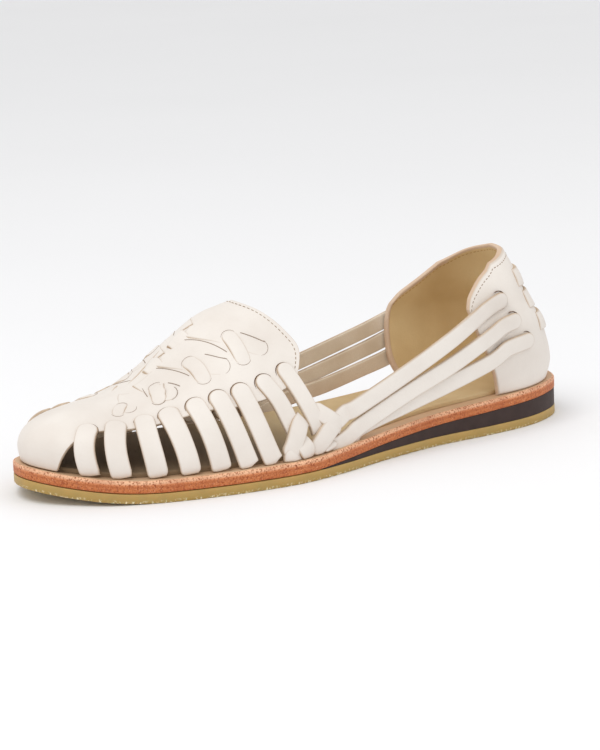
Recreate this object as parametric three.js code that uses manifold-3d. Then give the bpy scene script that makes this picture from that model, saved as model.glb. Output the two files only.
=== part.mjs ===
// A woven leather huarache sandal for the left foot, in millimetres.
// +Z is up and the ground is z = 0. The toe points along -Y, the heel along +Y,
// and the outer (lateral) side of the foot is +X.
//
// Everything is worked out from one last. SOLE_SECTIONS gives the sole's edge on each side,
// VAMP_SECTIONS gives the ridge of the instep and how round each cross section is, and
// HEEL_SECTIONS gives the cup that holds the heel. A surface point is found by walking round
// the sole's edge (a station), climbing from the edge to the ridge (a share from 0 to 1), and
// standing some millimetres proud of the last. Walls and straps are the space between two
// such surfaces.

import * as THREE from "three";
import Module from "manifold-3d";
import { mergeVertices } from "three/addons/utils/BufferGeometryUtils.js";

// ---------------------------------------------------------------- driving dimensions

const SHOE_LENGTH = 255;
const BALL_WIDTH = 90.5;
const INSTEP_HEIGHT = 56.5;
const HEEL_CUP_HEIGHT = 76;
const TOE_SPRING = 5.6;
const SPRING_START = -0.325;
const GAP = 0.3;

const OUTSOLE_THICKNESS = 3.9;
const MIDSOLE_THICKNESS = 4.9;
const MIDSOLE_EDGE_ROUND = 0.9;
const HEEL_LIFT = 7.4;
const LIFT_START = -0.078;
const INSOLE_THICKNESS = 2.0;
const INSOLE_INSET = 8.6;

const LEDGE = 5.0;
const VAMP_WALL = 1.8;
const STRAP_WALL = 1.8;
const STRAP_WIDTH = 8.4;
const LONG_STRAP_WIDTH = 7.2;
const CUP_CLEARANCE = 1.4;
const BAND_CLEARANCE = 0.7;
const COUNTER_WALL = 2.6;
const BAND_WALL = 1.6;
const BAND_HEIGHT = 8.0;

// ---------------------------------------------------------------- section tables

// Rows run from the tip of the toe to the back of the heel. along is a share of the shoe's
// length, medial and lateral are the edge's places as shares of the ball width.
const SOLE_SECTIONS = [
  { along: -0.5, medial: -0.066, lateral: -0.066 },
  { along: -0.488, medial: -0.202, lateral: 0.047 },
  { along: -0.455, medial: -0.324, lateral: 0.165 },
  { along: -0.404, medial: -0.424, lateral: 0.289 },
  { along: -0.337, medial: -0.485, lateral: 0.378 },
  { along: -0.267, medial: -0.5, lateral: 0.438 },
  { along: -0.188, medial: -0.487, lateral: 0.482 },
  { along: -0.106, medial: -0.437, lateral: 0.5 },
  { along: -0.02, medial: -0.375, lateral: 0.462 },
  { along: 0.078, medial: -0.322, lateral: 0.39 },
  { along: 0.188, medial: -0.31, lateral: 0.336 },
  { along: 0.298, medial: -0.333, lateral: 0.327 },
  { along: 0.38, medial: -0.331, lateral: 0.301 },
  { along: 0.439, medial: -0.28, lateral: 0.239 },
  { along: 0.482, medial: -0.165, lateral: 0.14 },
  { along: 0.5, medial: -0.017, lateral: -0.017 },
];

// ridge is the crest's place across the shoe and height its height over the sole, as shares
// of the ball width and the instep height. The round columns are the powers of the section's
// curve, across and up, and bulge is how far the wall swells past a plain curve.
const VAMP_SECTIONS = [
  { along: -0.5, ridge: -0.066, height: 0.407, across: 2.5, upLateral: 2.1, upMedial: 2.1, bulge: 3.8 },
  { along: -0.44, ridge: -0.066, height: 0.425, across: 2.4, upLateral: 2.1, upMedial: 2.1, bulge: 3.4 },
  { along: -0.392, ridge: -0.066, height: 0.425, across: 2.25, upLateral: 2.05, upMedial: 2.1, bulge: 2.6 },
  { along: -0.345, ridge: -0.066, height: 0.436, across: 2.1, upLateral: 2.0, upMedial: 2.1, bulge: 2.0 },
  { along: -0.298, ridge: -0.07, height: 0.492, across: 2.0, upLateral: 1.9, upMedial: 2.0, bulge: 1.6 },
  { along: -0.251, ridge: -0.077, height: 0.627, across: 2.0, upLateral: 1.65, upMedial: 1.8, bulge: 1.4 },
  { along: -0.204, ridge: -0.083, height: 0.784, across: 2.0, upLateral: 1.3, upMedial: 1.6, bulge: 1.4 },
  { along: -0.157, ridge: -0.088, height: 0.917, across: 2.0, upLateral: 1.2, upMedial: 1.5, bulge: 1.4 },
  { along: -0.11, ridge: -0.094, height: 0.972, across: 2.0, upLateral: 1.2, upMedial: 1.5, bulge: 1.2 },
  { along: -0.047, ridge: -0.099, height: 0.985, across: 2.0, upLateral: 1.3, upMedial: 1.6, bulge: 1.0 },
  { along: 0.016, ridge: -0.099, height: 0.956, across: 2.0, upLateral: 1.4, upMedial: 1.6, bulge: 0.8 },
];
const TOE_CENTRE = -0.286;

// up is a share of the heel cup's height, halfWidth of the ball width and back of the length.
// The front columns say how far round the cup's front edges come, in turns of the cup path.
const HEEL_SECTIONS = [
  { up: 0.21, halfWidth: 0.295, back: 0.478, frontLateral: 1.33, frontMedial: 2.9 },
  { up: 0.33, halfWidth: 0.319, back: 0.486, frontLateral: 1.6, frontMedial: 3.3 },
  { up: 0.48, halfWidth: 0.336, back: 0.473, frontLateral: 2.13, frontMedial: 3.35 },
  { up: 0.61, halfWidth: 0.334, back: 0.454, frontLateral: 2.58, frontMedial: 3.25 },
  { up: 0.71, halfWidth: 0.302, back: 0.434, frontLateral: 2.72, frontMedial: 3.05 },
  { up: 0.87, halfWidth: 0.242, back: 0.415, frontLateral: 2.72, frontMedial: 3.0 },
  { up: 1.0, halfWidth: 0.171, back: 0.398, frontLateral: 2.72, frontMedial: 3.0 },
];
const HEEL_CENTRE = 0.337;
const HEEL_ROUNDNESS = 2.2;
const HEEL_TURN = 10;
const HEEL_TAPER = 0.03;

// The collar's height round the cup, from the back (0) to the tip of each wing (1).
const COLLAR_SECTIONS = [
  { round: 0, lateral: 1.0, medial: 1.0 },
  { round: 0.19, lateral: 0.985, medial: 0.955 },
  { round: 0.33, lateral: 0.95, medial: 0.885 },
  { round: 0.46, lateral: 0.91, medial: 0.845 },
  { round: 0.62, lateral: 0.875, medial: 0.8 },
  { round: 0.76, lateral: 0.835, medial: 0.765 },
  { round: 0.92, lateral: 0.775, medial: 0.72 },
  { round: 1, lateral: 0.715, medial: 0.665 },
];

// The vamp's cut edge: how far up the wall it runs at each station.
const VAMP_EDGE = [
  { station: 0, climb: 0 },
  { station: 1.5, climb: 0 },
  { station: 1.75, climb: 0.13 },
  { station: 1.93, climb: 0.26 },
  { station: 2.19, climb: 0.4 },
  { station: 2.5, climb: 0.46 },
  { station: 3.3, climb: 0.49 },
  { station: 4.5, climb: 0.48 },
  { station: 5.1, climb: 0.455 },
  { station: 6.0, climb: 0.425 },
  { station: 6.6, climb: 0.42 },
  { station: 7.2, climb: 0.45 },
];

// The collar of the tongue plate: how far back it reaches at each height on the wall.
const PLATE_EDGE = [
  { climb: 0.42, station: 7.15 },
  { climb: 0.48, station: 7.42 },
  { climb: 0.575, station: 7.64 },
  { climb: 0.675, station: 7.54 },
  { climb: 0.8, station: 7.35 },
  { climb: 0.9, station: 7.17 },
  { climb: 0.96, station: 7.1 },
  { climb: 1, station: 7.09 },
];
const PLATE_START = 5.6;

// Seven straps on each side run from a slot near the ridge down to the sole.
const SIDE_STRAPS = [
  { name: "first", slotStation: 2.2, slotClimb: 0.53, baseStation: 2.46 },
  { name: "second", slotStation: 2.92, slotClimb: 0.583, baseStation: 3.2 },
  { name: "third", slotStation: 3.73, slotClimb: 0.605, baseStation: 3.96 },
  { name: "fourth", slotStation: 4.48, slotClimb: 0.596, baseStation: 4.68 },
  { name: "fifth", slotStation: 5.13, slotClimb: 0.558, baseStation: 5.33 },
  { name: "sixth", slotStation: 5.61, slotClimb: 0.539, baseStation: 5.92 },
  { name: "seventh", slotStation: 6.07, slotClimb: 0.526, baseStation: 6.44 },
];

// Three more straps are braided with three long ones at the waist. proud is the height of the
// strap's inner face over the last, so 0 runs under and the strap's wall runs over.
const BRAID_STRAPS = [
  {
    name: "eighth",
    path: [
      { station: 6.55, climb: 0.52, proud: 1.0 },
      { station: 6.8, climb: 0.4, proud: 0.6 },
      { station: 6.93, climb: 0.29, proud: 0.1 },
      { station: 7.1, climb: 0.16, proud: 1.6 },
      { station: 7.2, climb: 0.0, proud: 0.6 },
    ],
  },
  {
    name: "ninth",
    path: [
      { station: 7.09, climb: 0.538, proud: 1.0 },
      { station: 7.3, climb: 0.4, proud: 0.9 },
      { station: 7.5, climb: 0.26, proud: 1.7 },
      { station: 7.65, climb: 0.15, proud: 0.1 },
      { station: 7.72, climb: 0.0, proud: 1.4 },
    ],
  },
  {
    name: "tenth",
    path: [
      { station: 7.52, climb: 0.33, proud: -0.6 },
      { station: 7.72, climb: 0.3, proud: 0.6 },
      { station: 7.96, climb: 0.235, proud: 2.2 },
      { station: 8.16, climb: 0.15, proud: 1.0 },
      { station: 8.26, climb: 0.05, proud: 0.1 },
      { station: 8.3, climb: 0.0, proud: 0.1 },
    ],
  },
];

// The long straps start at the sole, pass through the braid, cross open air to the heel cup
// and end in slots on it. Rows with a station lie on the vamp, rows with along hang free and
// rows with round lie on the heel cup. The medial straps run lower, because that side's
// cup reaches further forward.
const LONG_STRAPS = [
  {
    name: "top",
    vamp: [
      { station: 6.7, climb: 0.03, proud: 0.2 },
      { station: 7.0, climb: 0.2, proud: 1.6 },
      { station: 7.5, climb: 0.24, proud: 0.1 },
      { station: 8.0, climb: 0.225, proud: 0.6 },
    ],
    lateral: {
      free: [
        { along: 0.012, out: 0.397, up: 24.5 },
        { along: 0.114, out: 0.382, up: 34.5 },
        { along: 0.204, out: 0.368, up: 44.3 },
      ],
      cup: [
        { round: 2.7, height: 50.6 },
        { round: 2.1, height: 53.4 },
        { round: 1.4, height: 56.0 },
        { round: 0.97, height: 57.3 },
      ],
    },
    medial: {
      free: [
        { along: 0.012, out: 0.335, up: 26.5 },
        { along: 0.114, out: 0.323, up: 33.5 },
        { along: 0.204, out: 0.335, up: 39.0 },
      ],
      cup: [
        { round: 3.3, height: 41.8 },
        { round: 2.4, height: 44.6 },
        { round: 1.5, height: 48.4 },
        { round: 1.05, height: 50.0 },
      ],
    },
  },
  {
    name: "middle",
    vamp: [
      { station: 6.78, climb: 0.01, proud: 0.1 },
      { station: 7.2, climb: 0.09, proud: 0.1 },
      { station: 7.66, climb: 0.15, proud: 1.6 },
      { station: 8.15, climb: 0.14, proud: 0.8 },
    ],
    lateral: {
      free: [
        { along: 0.02, out: 0.397, up: 16.8 },
        { along: 0.116, out: 0.382, up: 26.3 },
        { along: 0.204, out: 0.367, up: 33.8 },
      ],
      cup: [
        { round: 2.54, height: 40.4 },
        { round: 1.9, height: 43.6 },
        { round: 1.3, height: 46.6 },
        { round: 0.89, height: 48.2 },
      ],
    },
    medial: {
      free: [
        { along: 0.02, out: 0.335, up: 18.8 },
        { along: 0.116, out: 0.323, up: 25.6 },
        { along: 0.204, out: 0.335, up: 30.8 },
      ],
      cup: [
        { round: 3.35, height: 33.6 },
        { round: 2.4, height: 36.4 },
        { round: 1.45, height: 40.0 },
        { round: 0.97, height: 41.6 },
      ],
    },
  },
  {
    name: "low",
    vamp: [
      { station: 7.5, climb: 0.0, proud: 0.1 },
      { station: 7.72, climb: 0.045, proud: 0.0 },
      { station: 8.12, climb: 0.06, proud: 0.3 },
    ],
    lateral: {
      free: [
        { along: 0.02, out: 0.38, up: 16.4 },
        { along: 0.116, out: 0.37, up: 21.3 },
        { along: 0.204, out: 0.36, up: 25.6 },
      ],
      cup: [
        { round: 2.15, height: 31.4 },
        { round: 1.6, height: 34.2 },
        { round: 1.15, height: 37.0 },
        { round: 0.78, height: 39.0 },
      ],
    },
    medial: {
      free: [
        { along: 0.04, out: 0.32, up: 15.4 },
        { along: 0.116, out: 0.31, up: 18.6 },
        { along: 0.204, out: 0.325, up: 23.0 },
      ],
      cup: [
        { round: 3.3, height: 25.6 },
        { round: 2.4, height: 28.2 },
        { round: 1.4, height: 31.6 },
        { round: 0.88, height: 33.2 },
      ],
    },
  },
];

// Three short bands show round the back of the heel cup.
const HEEL_BANDS = [
  { name: "heel_band_top", height: 63.5, reach: 0.62 },
  { name: "heel_band_middle", height: 54, reach: 0.58 },
  { name: "heel_band_low", height: 44, reach: 0.54 },
];

// ---------------------------------------------------------------- curves through tables

// A smooth value from a table's rows: each row is a place on the curve, and the slope at a
// row is that of its two neighbours.
function smoothColumn(rows, key, column, at) {
  const last = rows.length - 1;
  const x = Math.min(Math.max(at, rows[0][key]), rows[last][key]);
  let i = 0;
  while (i < last - 1 && x > rows[i + 1][key]) {
    i += 1;
  }
  const slope = (k) => {
    const before = rows[Math.max(k - 1, 0)];
    const after = rows[Math.min(k + 1, last)];
    return (after[column] - before[column]) / (after[key] - before[key]);
  };
  const width = rows[i + 1][key] - rows[i][key];
  const t = (x - rows[i][key]) / width;
  const start = rows[i][column] * (2 * t ** 3 - 3 * t ** 2 + 1);
  const end = rows[i + 1][column] * (3 * t ** 2 - 2 * t ** 3);
  const bend = slope(i) * (t ** 3 - 2 * t ** 2 + t) + slope(i + 1) * (t ** 3 - t ** 2);
  return start + end + bend * width;
}

// A Catmull-Rom value through evenly numbered rows, with one ghost value past each end.
function throughRows(values, ghostStart, ghostEnd, at) {
  const all = [ghostStart, ...values, ghostEnd];
  const x = Math.min(Math.max(at, 0), values.length - 1 - 1e-9);
  const i = Math.floor(x);
  const t = x - i;
  const [a, b, c, d] = all.slice(i, i + 4);
  const cubic = (3 * b - a - 3 * c + d) * t ** 3;
  return 0.5 * (2 * b + (c - a) * t + (2 * a - 5 * b + 4 * c - d) * t * t + cubic);
}

// ---------------------------------------------------------------- the sole's edge

const lastRow = SOLE_SECTIONS.length - 1;
const edgeAlong = SOLE_SECTIONS.map((row) => row.along * SHOE_LENGTH);
const edgeMedial = SOLE_SECTIONS.map((row) => row.medial * BALL_WIDTH);
const edgeLateral = SOLE_SECTIONS.map((row) => row.lateral * BALL_WIDTH);

// The sole's edge at a station (0 at the toe tip, 15 at the back of the heel). Past either
// tip the curve goes on round the other side, so the two sides meet smoothly.
function soleEdge(side, station) {
  const mine = side > 0 ? edgeLateral : edgeMedial;
  const other = side > 0 ? edgeMedial : edgeLateral;
  const x = throughRows(mine, other[1], other[lastRow - 1], station);
  const y = throughRows(edgeAlong, edgeAlong[1], edgeAlong[lastRow - 1], station);
  return { x, y };
}

// The edge moved inwards, square to itself, by a number of millimetres.
function insetEdge(side, station, inset) {
  const step = 1e-3;
  const here = soleEdge(side, station);
  const ahead = station + step > lastRow
    ? soleEdge(-side, 2 * lastRow - station - step)
    : soleEdge(side, station + step);
  const behind = station < step ? soleEdge(-side, step - station) : soleEdge(side, station - step);
  const dx = ahead.x - behind.x;
  const dy = ahead.y - behind.y;
  const length = Math.hypot(dx, dy);
  return { x: here.x - (side * inset * dy) / length, y: here.y + (side * inset * dx) / length };
}

// ---------------------------------------------------------------- heights of the sole's layers

function toeSpring(y) {
  const start = SPRING_START * SHOE_LENGTH;
  const share = Math.max(start - y, 0) / (SHOE_LENGTH / 2 + start);
  return TOE_SPRING * share ** 2;
}

function heelLift(y) {
  const start = LIFT_START * SHOE_LENGTH;
  const share = Math.min(Math.max((y - start) / (SHOE_LENGTH / 2 - start), 0), 1);
  return HEEL_LIFT * (1 - (1 - share) ** 1.6);
}

const outsoleTop = (y) => toeSpring(y) + OUTSOLE_THICKNESS;
const midsoleBottom = (y) => outsoleTop(y) + GAP + heelLift(y);
const midsoleTop = (y) => midsoleBottom(y) + MIDSOLE_THICKNESS;
const wedgeBottom = (y) => outsoleTop(y) + GAP;
const wedgeTop = (y) => midsoleBottom(y) - GAP;

// ---------------------------------------------------------------- the last

// A point on the vamp: side is +1 lateral or -1 medial, station walks along the sole's edge,
// climb rises from the edge (0) to the ridge (1), proud stands out from the last.
function vampPoint(side, station, climb, proud) {
  const edge = soleEdge(side, station);
  const foot = insetEdge(side, station, LEDGE - proud);
  const at = edge.y / SHOE_LENGTH;
  const column = (name, along) => smoothColumn(VAMP_SECTIONS, "along", name, along);
  const ridgeY = Math.max(edge.y, TOE_CENTRE * SHOE_LENGTH);
  const ridgeX = column("ridge", ridgeY / SHOE_LENGTH) * BALL_WIDTH;
  const angle = (climb * Math.PI) / 2;
  const up = column(side > 0 ? "upLateral" : "upMedial", at);
  const outShare = Math.max(Math.cos(angle), 0) ** (2 / column("across", at));
  const upShare = Math.sin(angle) ** (2 / up);
  const reach = Math.hypot(foot.x - ridgeX, foot.y - ridgeY);
  const swell = 1.3 * column("bulge", at) * Math.sin(2 * angle) * Math.cos(angle);
  const out = outShare + swell / reach;
  const x = ridgeX + out * (foot.x - ridgeX);
  const y = ridgeY + out * (foot.y - ridgeY);
  const crest = column("height", y / SHOE_LENGTH) * INSTEP_HEIGHT + proud;
  return new THREE.Vector3(x, y, midsoleTop(y) + GAP + upShare * crest);
}

// A point on the heel cup: round is 0 at the back seam, 1 at the side (negative on the medial
// side), and past 1 it runs straight forward, HEEL_TURN millimetres to each further turn.
function cupPoint(round, height, proud) {
  const column = (name) => smoothColumn(HEEL_SECTIONS, "up", name, height / HEEL_CUP_HEIGHT);
  const halfWidth = column("halfWidth") * BALL_WIDTH + proud;
  const centre = HEEL_CENTRE * SHOE_LENGTH;
  const reach = column("back") * SHOE_LENGTH - centre + proud;
  const angle = (Math.min(Math.abs(round), 1) * Math.PI) / 2;
  const side = Math.sign(round);
  const forward = Math.max(Math.abs(round) - 1, 0) * HEEL_TURN;
  const power = 2 / HEEL_ROUNDNESS;
  const x = side * (halfWidth * Math.sin(angle) ** power - HEEL_TAPER * forward);
  const y = centre + reach * Math.max(Math.cos(angle), 0) ** power - forward;
  return new THREE.Vector3(x - 0.6, y, height);
}

// ---------------------------------------------------------------- closed solids from grids

// Turns lists of triangle corners into a geometry with shared corners and no empty triangles.
function geometryFrom(corners) {
  const raw = new THREE.BufferGeometry();
  const flat = corners.flatMap((p) => [p.x, p.y, p.z]);
  raw.setAttribute("position", new THREE.Float32BufferAttribute(flat, 3));
  const merged = mergeVertices(raw, 1e-3);
  const index = Array.from(merged.index.array);
  const kept = [];
  for (let i = 0; i < index.length; i += 3) {
    const [a, b, c] = index.slice(i, i + 3);
    if (a !== b && b !== c && c !== a) {
      kept.push(a, b, c);
    }
  }
  merged.setIndex(kept);
  return merged;
}

// The space between two surfaces given as functions of (i, j) over a grid. Walls close the
// sides named in walls; a side left out folds onto itself and needs none.
function slab(columns, rows, outer, inner, walls) {
  const corners = [];
  const quad = (a, b, c, d) => corners.push(a, b, c, a, c, d);
  const top = [];
  const bottom = [];
  for (let i = 0; i <= columns; i += 1) {
    top.push([]);
    bottom.push([]);
    for (let j = 0; j <= rows; j += 1) {
      top[i].push(outer(i / columns, j / rows));
      bottom[i].push(inner(i / columns, j / rows));
    }
  }
  for (let i = 0; i < columns; i += 1) {
    for (let j = 0; j < rows; j += 1) {
      quad(top[i][j], top[i + 1][j], top[i + 1][j + 1], top[i][j + 1]);
      quad(bottom[i][j], bottom[i][j + 1], bottom[i + 1][j + 1], bottom[i + 1][j]);
    }
    if (walls.includes("low")) {
      quad(top[i][0], bottom[i][0], bottom[i + 1][0], top[i + 1][0]);
    }
    if (walls.includes("high")) {
      quad(top[i][rows], top[i + 1][rows], bottom[i + 1][rows], bottom[i][rows]);
    }
  }
  for (let j = 0; j < rows; j += 1) {
    quad(top[0][j], top[0][j + 1], bottom[0][j + 1], bottom[0][j]);
    quad(top[columns][j], bottom[columns][j], bottom[columns][j + 1], top[columns][j + 1]);
  }
  return geometryFrom(corners);
}

const wasm = await Module();
wasm.setup();

function toSolid(geometry) {
  const vertProperties = new Float32Array(geometry.attributes.position.array);
  const triVerts = new Uint32Array(geometry.index.array);
  const solid = new wasm.Manifold(new wasm.Mesh({ numProp: 3, vertProperties, triVerts }));
  if (solid.volume() > 0) {
    return solid;
  }
  const turned = triVerts.slice();
  for (let i = 0; i < turned.length; i += 3) {
    [turned[i + 1], turned[i + 2]] = [turned[i + 2], turned[i + 1]];
  }
  return new wasm.Manifold(new wasm.Mesh({ numProp: 3, vertProperties, triVerts: turned }));
}

function toGeometry(solid) {
  const mesh = solid.getMesh();
  const corners = [];
  for (const vertex of mesh.triVerts) {
    corners.push(new THREE.Vector3(...mesh.vertProperties.slice(3 * vertex, 3 * vertex + 3)));
  }
  return geometryFrom(corners);
}

// ---------------------------------------------------------------- sole layers

// A layer of the sole: the space between two heights, inside the edge inset by a number of
// millimetres, from one station to the back of the heel. roundTop trims the upper edge.
function soleLayer({ from = 0, inset, bottom, top, roundTop = 0 }) {
  const corners = [];
  const quad = (a, b, c, d) => corners.push(a, b, c, a, c, d);
  const steps = Math.round((lastRow - from) * 3);
  const ring = (height, extra) => {
    const points = [];
    for (let i = 0; i <= steps; i += 1) {
      const station = from + ((lastRow - from) * i) / steps;
      const medial = insetEdge(-1, station, inset + extra);
      const lateral = insetEdge(1, station, inset + extra);
      points.push([
        new THREE.Vector3(medial.x, medial.y, height(medial.y)),
        new THREE.Vector3(lateral.x, lateral.y, height(lateral.y)),
      ]);
    }
    return points;
  };
  const rings = [ring(bottom, 0), ring((y) => top(y) - roundTop, 0)];
  if (roundTop > 0) {
    rings.push(ring(top, roundTop));
  }
  const lid = rings[rings.length - 1];
  for (let i = 0; i < steps; i += 1) {
    quad(rings[0][i][0], rings[0][i + 1][0], rings[0][i + 1][1], rings[0][i][1]);
    quad(lid[i][0], lid[i][1], lid[i + 1][1], lid[i + 1][0]);
    for (let k = 0; k + 1 < rings.length; k += 1) {
      const [low, high] = [rings[k], rings[k + 1]];
      quad(low[i][0], high[i][0], high[i + 1][0], low[i + 1][0]);
      quad(low[i][1], low[i + 1][1], high[i + 1][1], high[i][1]);
    }
  }
  for (let k = 0; k + 1 < rings.length; k += 1) {
    const [low, high] = [rings[k], rings[k + 1]];
    quad(low[0][0], low[0][1], high[0][1], high[0][0]);
    quad(low[steps][0], high[steps][0], high[steps][1], low[steps][1]);
  }
  return toGeometry(toSolid(geometryFrom(corners)));
}

const outsoleShape = () => soleLayer({ inset: 0, bottom: toeSpring, top: outsoleTop });

// The wedge starts where it is thick enough to be a solid of its own.
function wedgeShape() {
  const thickEnough = 0.35;
  let from = 6;
  while (wedgeTop(soleEdge(1, from).y) - wedgeBottom(soleEdge(1, from).y) < thickEnough) {
    from += 0.05;
  }
  return soleLayer({ from, inset: 0, bottom: wedgeBottom, top: wedgeTop });
}

const midsoleShape = () => soleLayer({
  inset: 0,
  bottom: midsoleBottom,
  top: midsoleTop,
  roundTop: MIDSOLE_EDGE_ROUND,
});

const insoleShape = () => soleLayer({
  inset: INSOLE_INSET,
  bottom: (y) => midsoleTop(y) + GAP,
  top: (y) => midsoleTop(y) + GAP + INSOLE_THICKNESS,
});

// ---------------------------------------------------------------- upper

// Toe cap, spine and tongue plate in one piece: it goes round the toe from the plate's lateral
// corner to its medial corner, and climbs from the cut edge to the ridge, where it folds.
function vampShape() {
  const point = (around, rise, proud) => {
    const side = around < 0.5 ? 1 : -1;
    const share = Math.abs(around - 0.5) * 2;
    const plain = share * 7.2;
    const edge = Math.max(smoothColumn(VAMP_EDGE, "station", "climb", plain), 0);
    const climb = edge + (1 - edge) * rise;
    const plateReach = smoothColumn(PLATE_EDGE, "climb", "station", climb);
    const past = Math.max(plain - PLATE_START, 0) / (7.2 - PLATE_START);
    const station = plain + past * (plateReach - 7.2);
    return vampPoint(side, station, climb, proud);
  };
  const outer = (around, rise) => point(around, rise, VAMP_WALL);
  const inner = (around, rise) => point(around, rise, 0);
  return slab(60, 9, outer, inner, ["low"]);
}

// A strap along a path of rows {centre, across, out}: across is the unit direction of its
// width and out the unit direction away from the foot.
function strapShape(rows, width, wall) {
  const place = (row, share, proud) => row.centre.clone()
    .addScaledVector(row.across, (share - 0.5) * width)
    .addScaledVector(row.out, proud);
  const last = rows.length - 1;
  const outer = (t, share) => place(rows[Math.round(t * last)], share, wall);
  const inner = (t, share) => place(rows[Math.round(t * last)], share, 0);
  return slab(last, 1, outer, inner, ["low", "high"]);
}

// Frames a run of centre points: across is square to the run and to the way out.
function framedRows(centres, outs) {
  return centres.map((centre, i) => {
    const before = centres[Math.max(i - 1, 0)];
    const after = centres[Math.min(i + 1, centres.length - 1)];
    const run = after.clone().sub(before).normalize();
    const out = outs[i].clone().addScaledVector(run, -outs[i].dot(run)).normalize();
    const across = new THREE.Vector3().crossVectors(out, run).normalize();
    return { centre, across, out };
  });
}

// Which way is out on the vamp, from the last to a point 1 mm proud of it.
function vampOut(side, station, climb) {
  const step = 0.02;
  const low = Math.max(climb - step, 0);
  const rise = vampPoint(side, station, low + 2 * step, 0).sub(vampPoint(side, station, low, 0));
  const ahead = vampPoint(side, station + step, climb, 0);
  const walk = ahead.sub(vampPoint(side, station - step, climb, 0));
  return new THREE.Vector3().crossVectors(walk, rise).multiplyScalar(side).normalize();
}

function sideStrap(side, strap) {
  const steps = 7;
  const centres = [];
  const outs = [];
  for (let i = 0; i <= steps; i += 1) {
    const t = i / steps;
    const station = THREE.MathUtils.lerp(strap.slotStation, strap.baseStation, t);
    const climb = strap.slotClimb * (1 - t);
    const proud = THREE.MathUtils.lerp(1.0, 0.2, t);
    centres.push(vampPoint(side, station, climb, proud));
    outs.push(vampOut(side, station, climb));
  }
  return { centres, outs };
}

// A smooth run of points and out directions through a list of rows.
function smoothRun(points, outs, steps) {
  const curve = new THREE.CatmullRomCurve3(points, false, "centripetal");
  const outCurve = new THREE.CatmullRomCurve3(outs, false, "centripetal");
  const centres = [];
  const ways = [];
  for (let i = 0; i <= steps; i += 1) {
    centres.push(curve.getPoint(i / steps));
    ways.push(outCurve.getPoint(i / steps).normalize());
  }
  return { centres, outs: ways };
}

function vampRow(side, row) {
  return {
    point: vampPoint(side, row.station, row.climb, row.proud),
    out: vampOut(side, row.station, row.climb),
  };
}

function braidStrap(side, strap) {
  const rows = strap.path.map((row) => vampRow(side, row));
  return smoothRun(rows.map((row) => row.point), rows.map((row) => row.out), 12);
}

function longStrap(side, strap) {
  const onVamp = strap.vamp.map((row) => vampRow(side, row));
  const { free, cup } = side > 0 ? strap.lateral : strap.medial;
  const inAir = free.map((row) => ({
    point: new THREE.Vector3(side * row.out * BALL_WIDTH, row.along * SHOE_LENGTH, row.up),
    out: new THREE.Vector3(side, 0, 0.12).normalize(),
  }));
  const onCup = cup.map((row) => {
    const point = cupPoint(side * row.round, row.height, CUP_CLEARANCE);
    const further = cupPoint(side * row.round, row.height, CUP_CLEARANCE + 1);
    const out = further.sub(point).normalize();
    return { point, out };
  });
  const rows = [...onVamp, ...inAir, ...onCup];
  return smoothRun(rows.map((row) => row.point), rows.map((row) => row.out), 30);
}

// No strap may dip below the top of the midsole, so what reaches under it is cut away.
function groundCutter() {
  return toSolid(soleLayer({
    inset: -6,
    bottom: (y) => midsoleTop(y) - 12,
    top: (y) => midsoleTop(y) + GAP,
  }));
}

function upperShape() {
  let upper = toSolid(vampShape());
  for (const side of [1, -1]) {
    for (const strap of SIDE_STRAPS) {
      const { centres, outs } = sideStrap(side, strap);
      upper = upper.add(toSolid(strapShape(framedRows(centres, outs), STRAP_WIDTH, STRAP_WALL)));
    }
    for (const strap of BRAID_STRAPS) {
      const { centres, outs } = braidStrap(side, strap);
      upper = upper.add(toSolid(strapShape(framedRows(centres, outs), STRAP_WIDTH, STRAP_WALL)));
    }
    for (const strap of LONG_STRAPS) {
      const { centres, outs } = longStrap(side, strap);
      const rows = framedRows(centres, outs);
      upper = upper.add(toSolid(strapShape(rows, LONG_STRAP_WIDTH, STRAP_WALL)));
    }
  }
  return toGeometry(upper.subtract(groundCutter()).subtract(cupCutter()));
}

// ---------------------------------------------------------------- heel cup

// One wall that goes round the heel from wing tip to wing tip and rises to the collar. The
// wall lies between two distances from the cup's surface.
function cupWall(outside, inside) {
  const point = (around, rise, proud) => {
    const share = around * 2 - 1;
    const side = share < 0 ? "Medial" : "Lateral";
    const collarColumn = side.toLowerCase();
    const reach = Math.abs(share);
    const top = smoothColumn(COLLAR_SECTIONS, "round", collarColumn, reach) * HEEL_CUP_HEIGHT;
    const frontAt = (height) => smoothColumn(
      HEEL_SECTIONS, "up", `front${side}`, height / HEEL_CUP_HEIGHT);
    const footY = cupPoint(share * frontAt(16), 16, 0).y;
    const foot = midsoleTop(footY) + GAP;
    const height = foot + (top - foot) * rise;
    return cupPoint(share * frontAt(height), height, proud);
  };
  const outer = (around, rise) => point(around, rise, outside);
  const inner = (around, rise) => point(around, rise, inside);
  return toSolid(slab(36, 9, outer, inner, ["low", "high"]));
}

const counterShape = () => toGeometry(cupWall(0, -COUNTER_WALL));

// The room that the straps leave for the cup.
const cupCutter = () => cupWall(GAP, -COUNTER_WALL - GAP);

function heelBandShape(band) {
  const place = (around, rise, proud) => {
    const height = band.height + (rise - 0.5) * BAND_HEIGHT;
    return cupPoint((around * 2 - 1) * band.reach, height, proud);
  };
  const outer = (around, rise) => place(around, rise, BAND_CLEARANCE + BAND_WALL);
  const inner = (around, rise) => place(around, rise, BAND_CLEARANCE);
  return toGeometry(toSolid(slab(14, 2, outer, inner, ["low", "high"])));
}

// ---------------------------------------------------------------- materials and assembly

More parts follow.
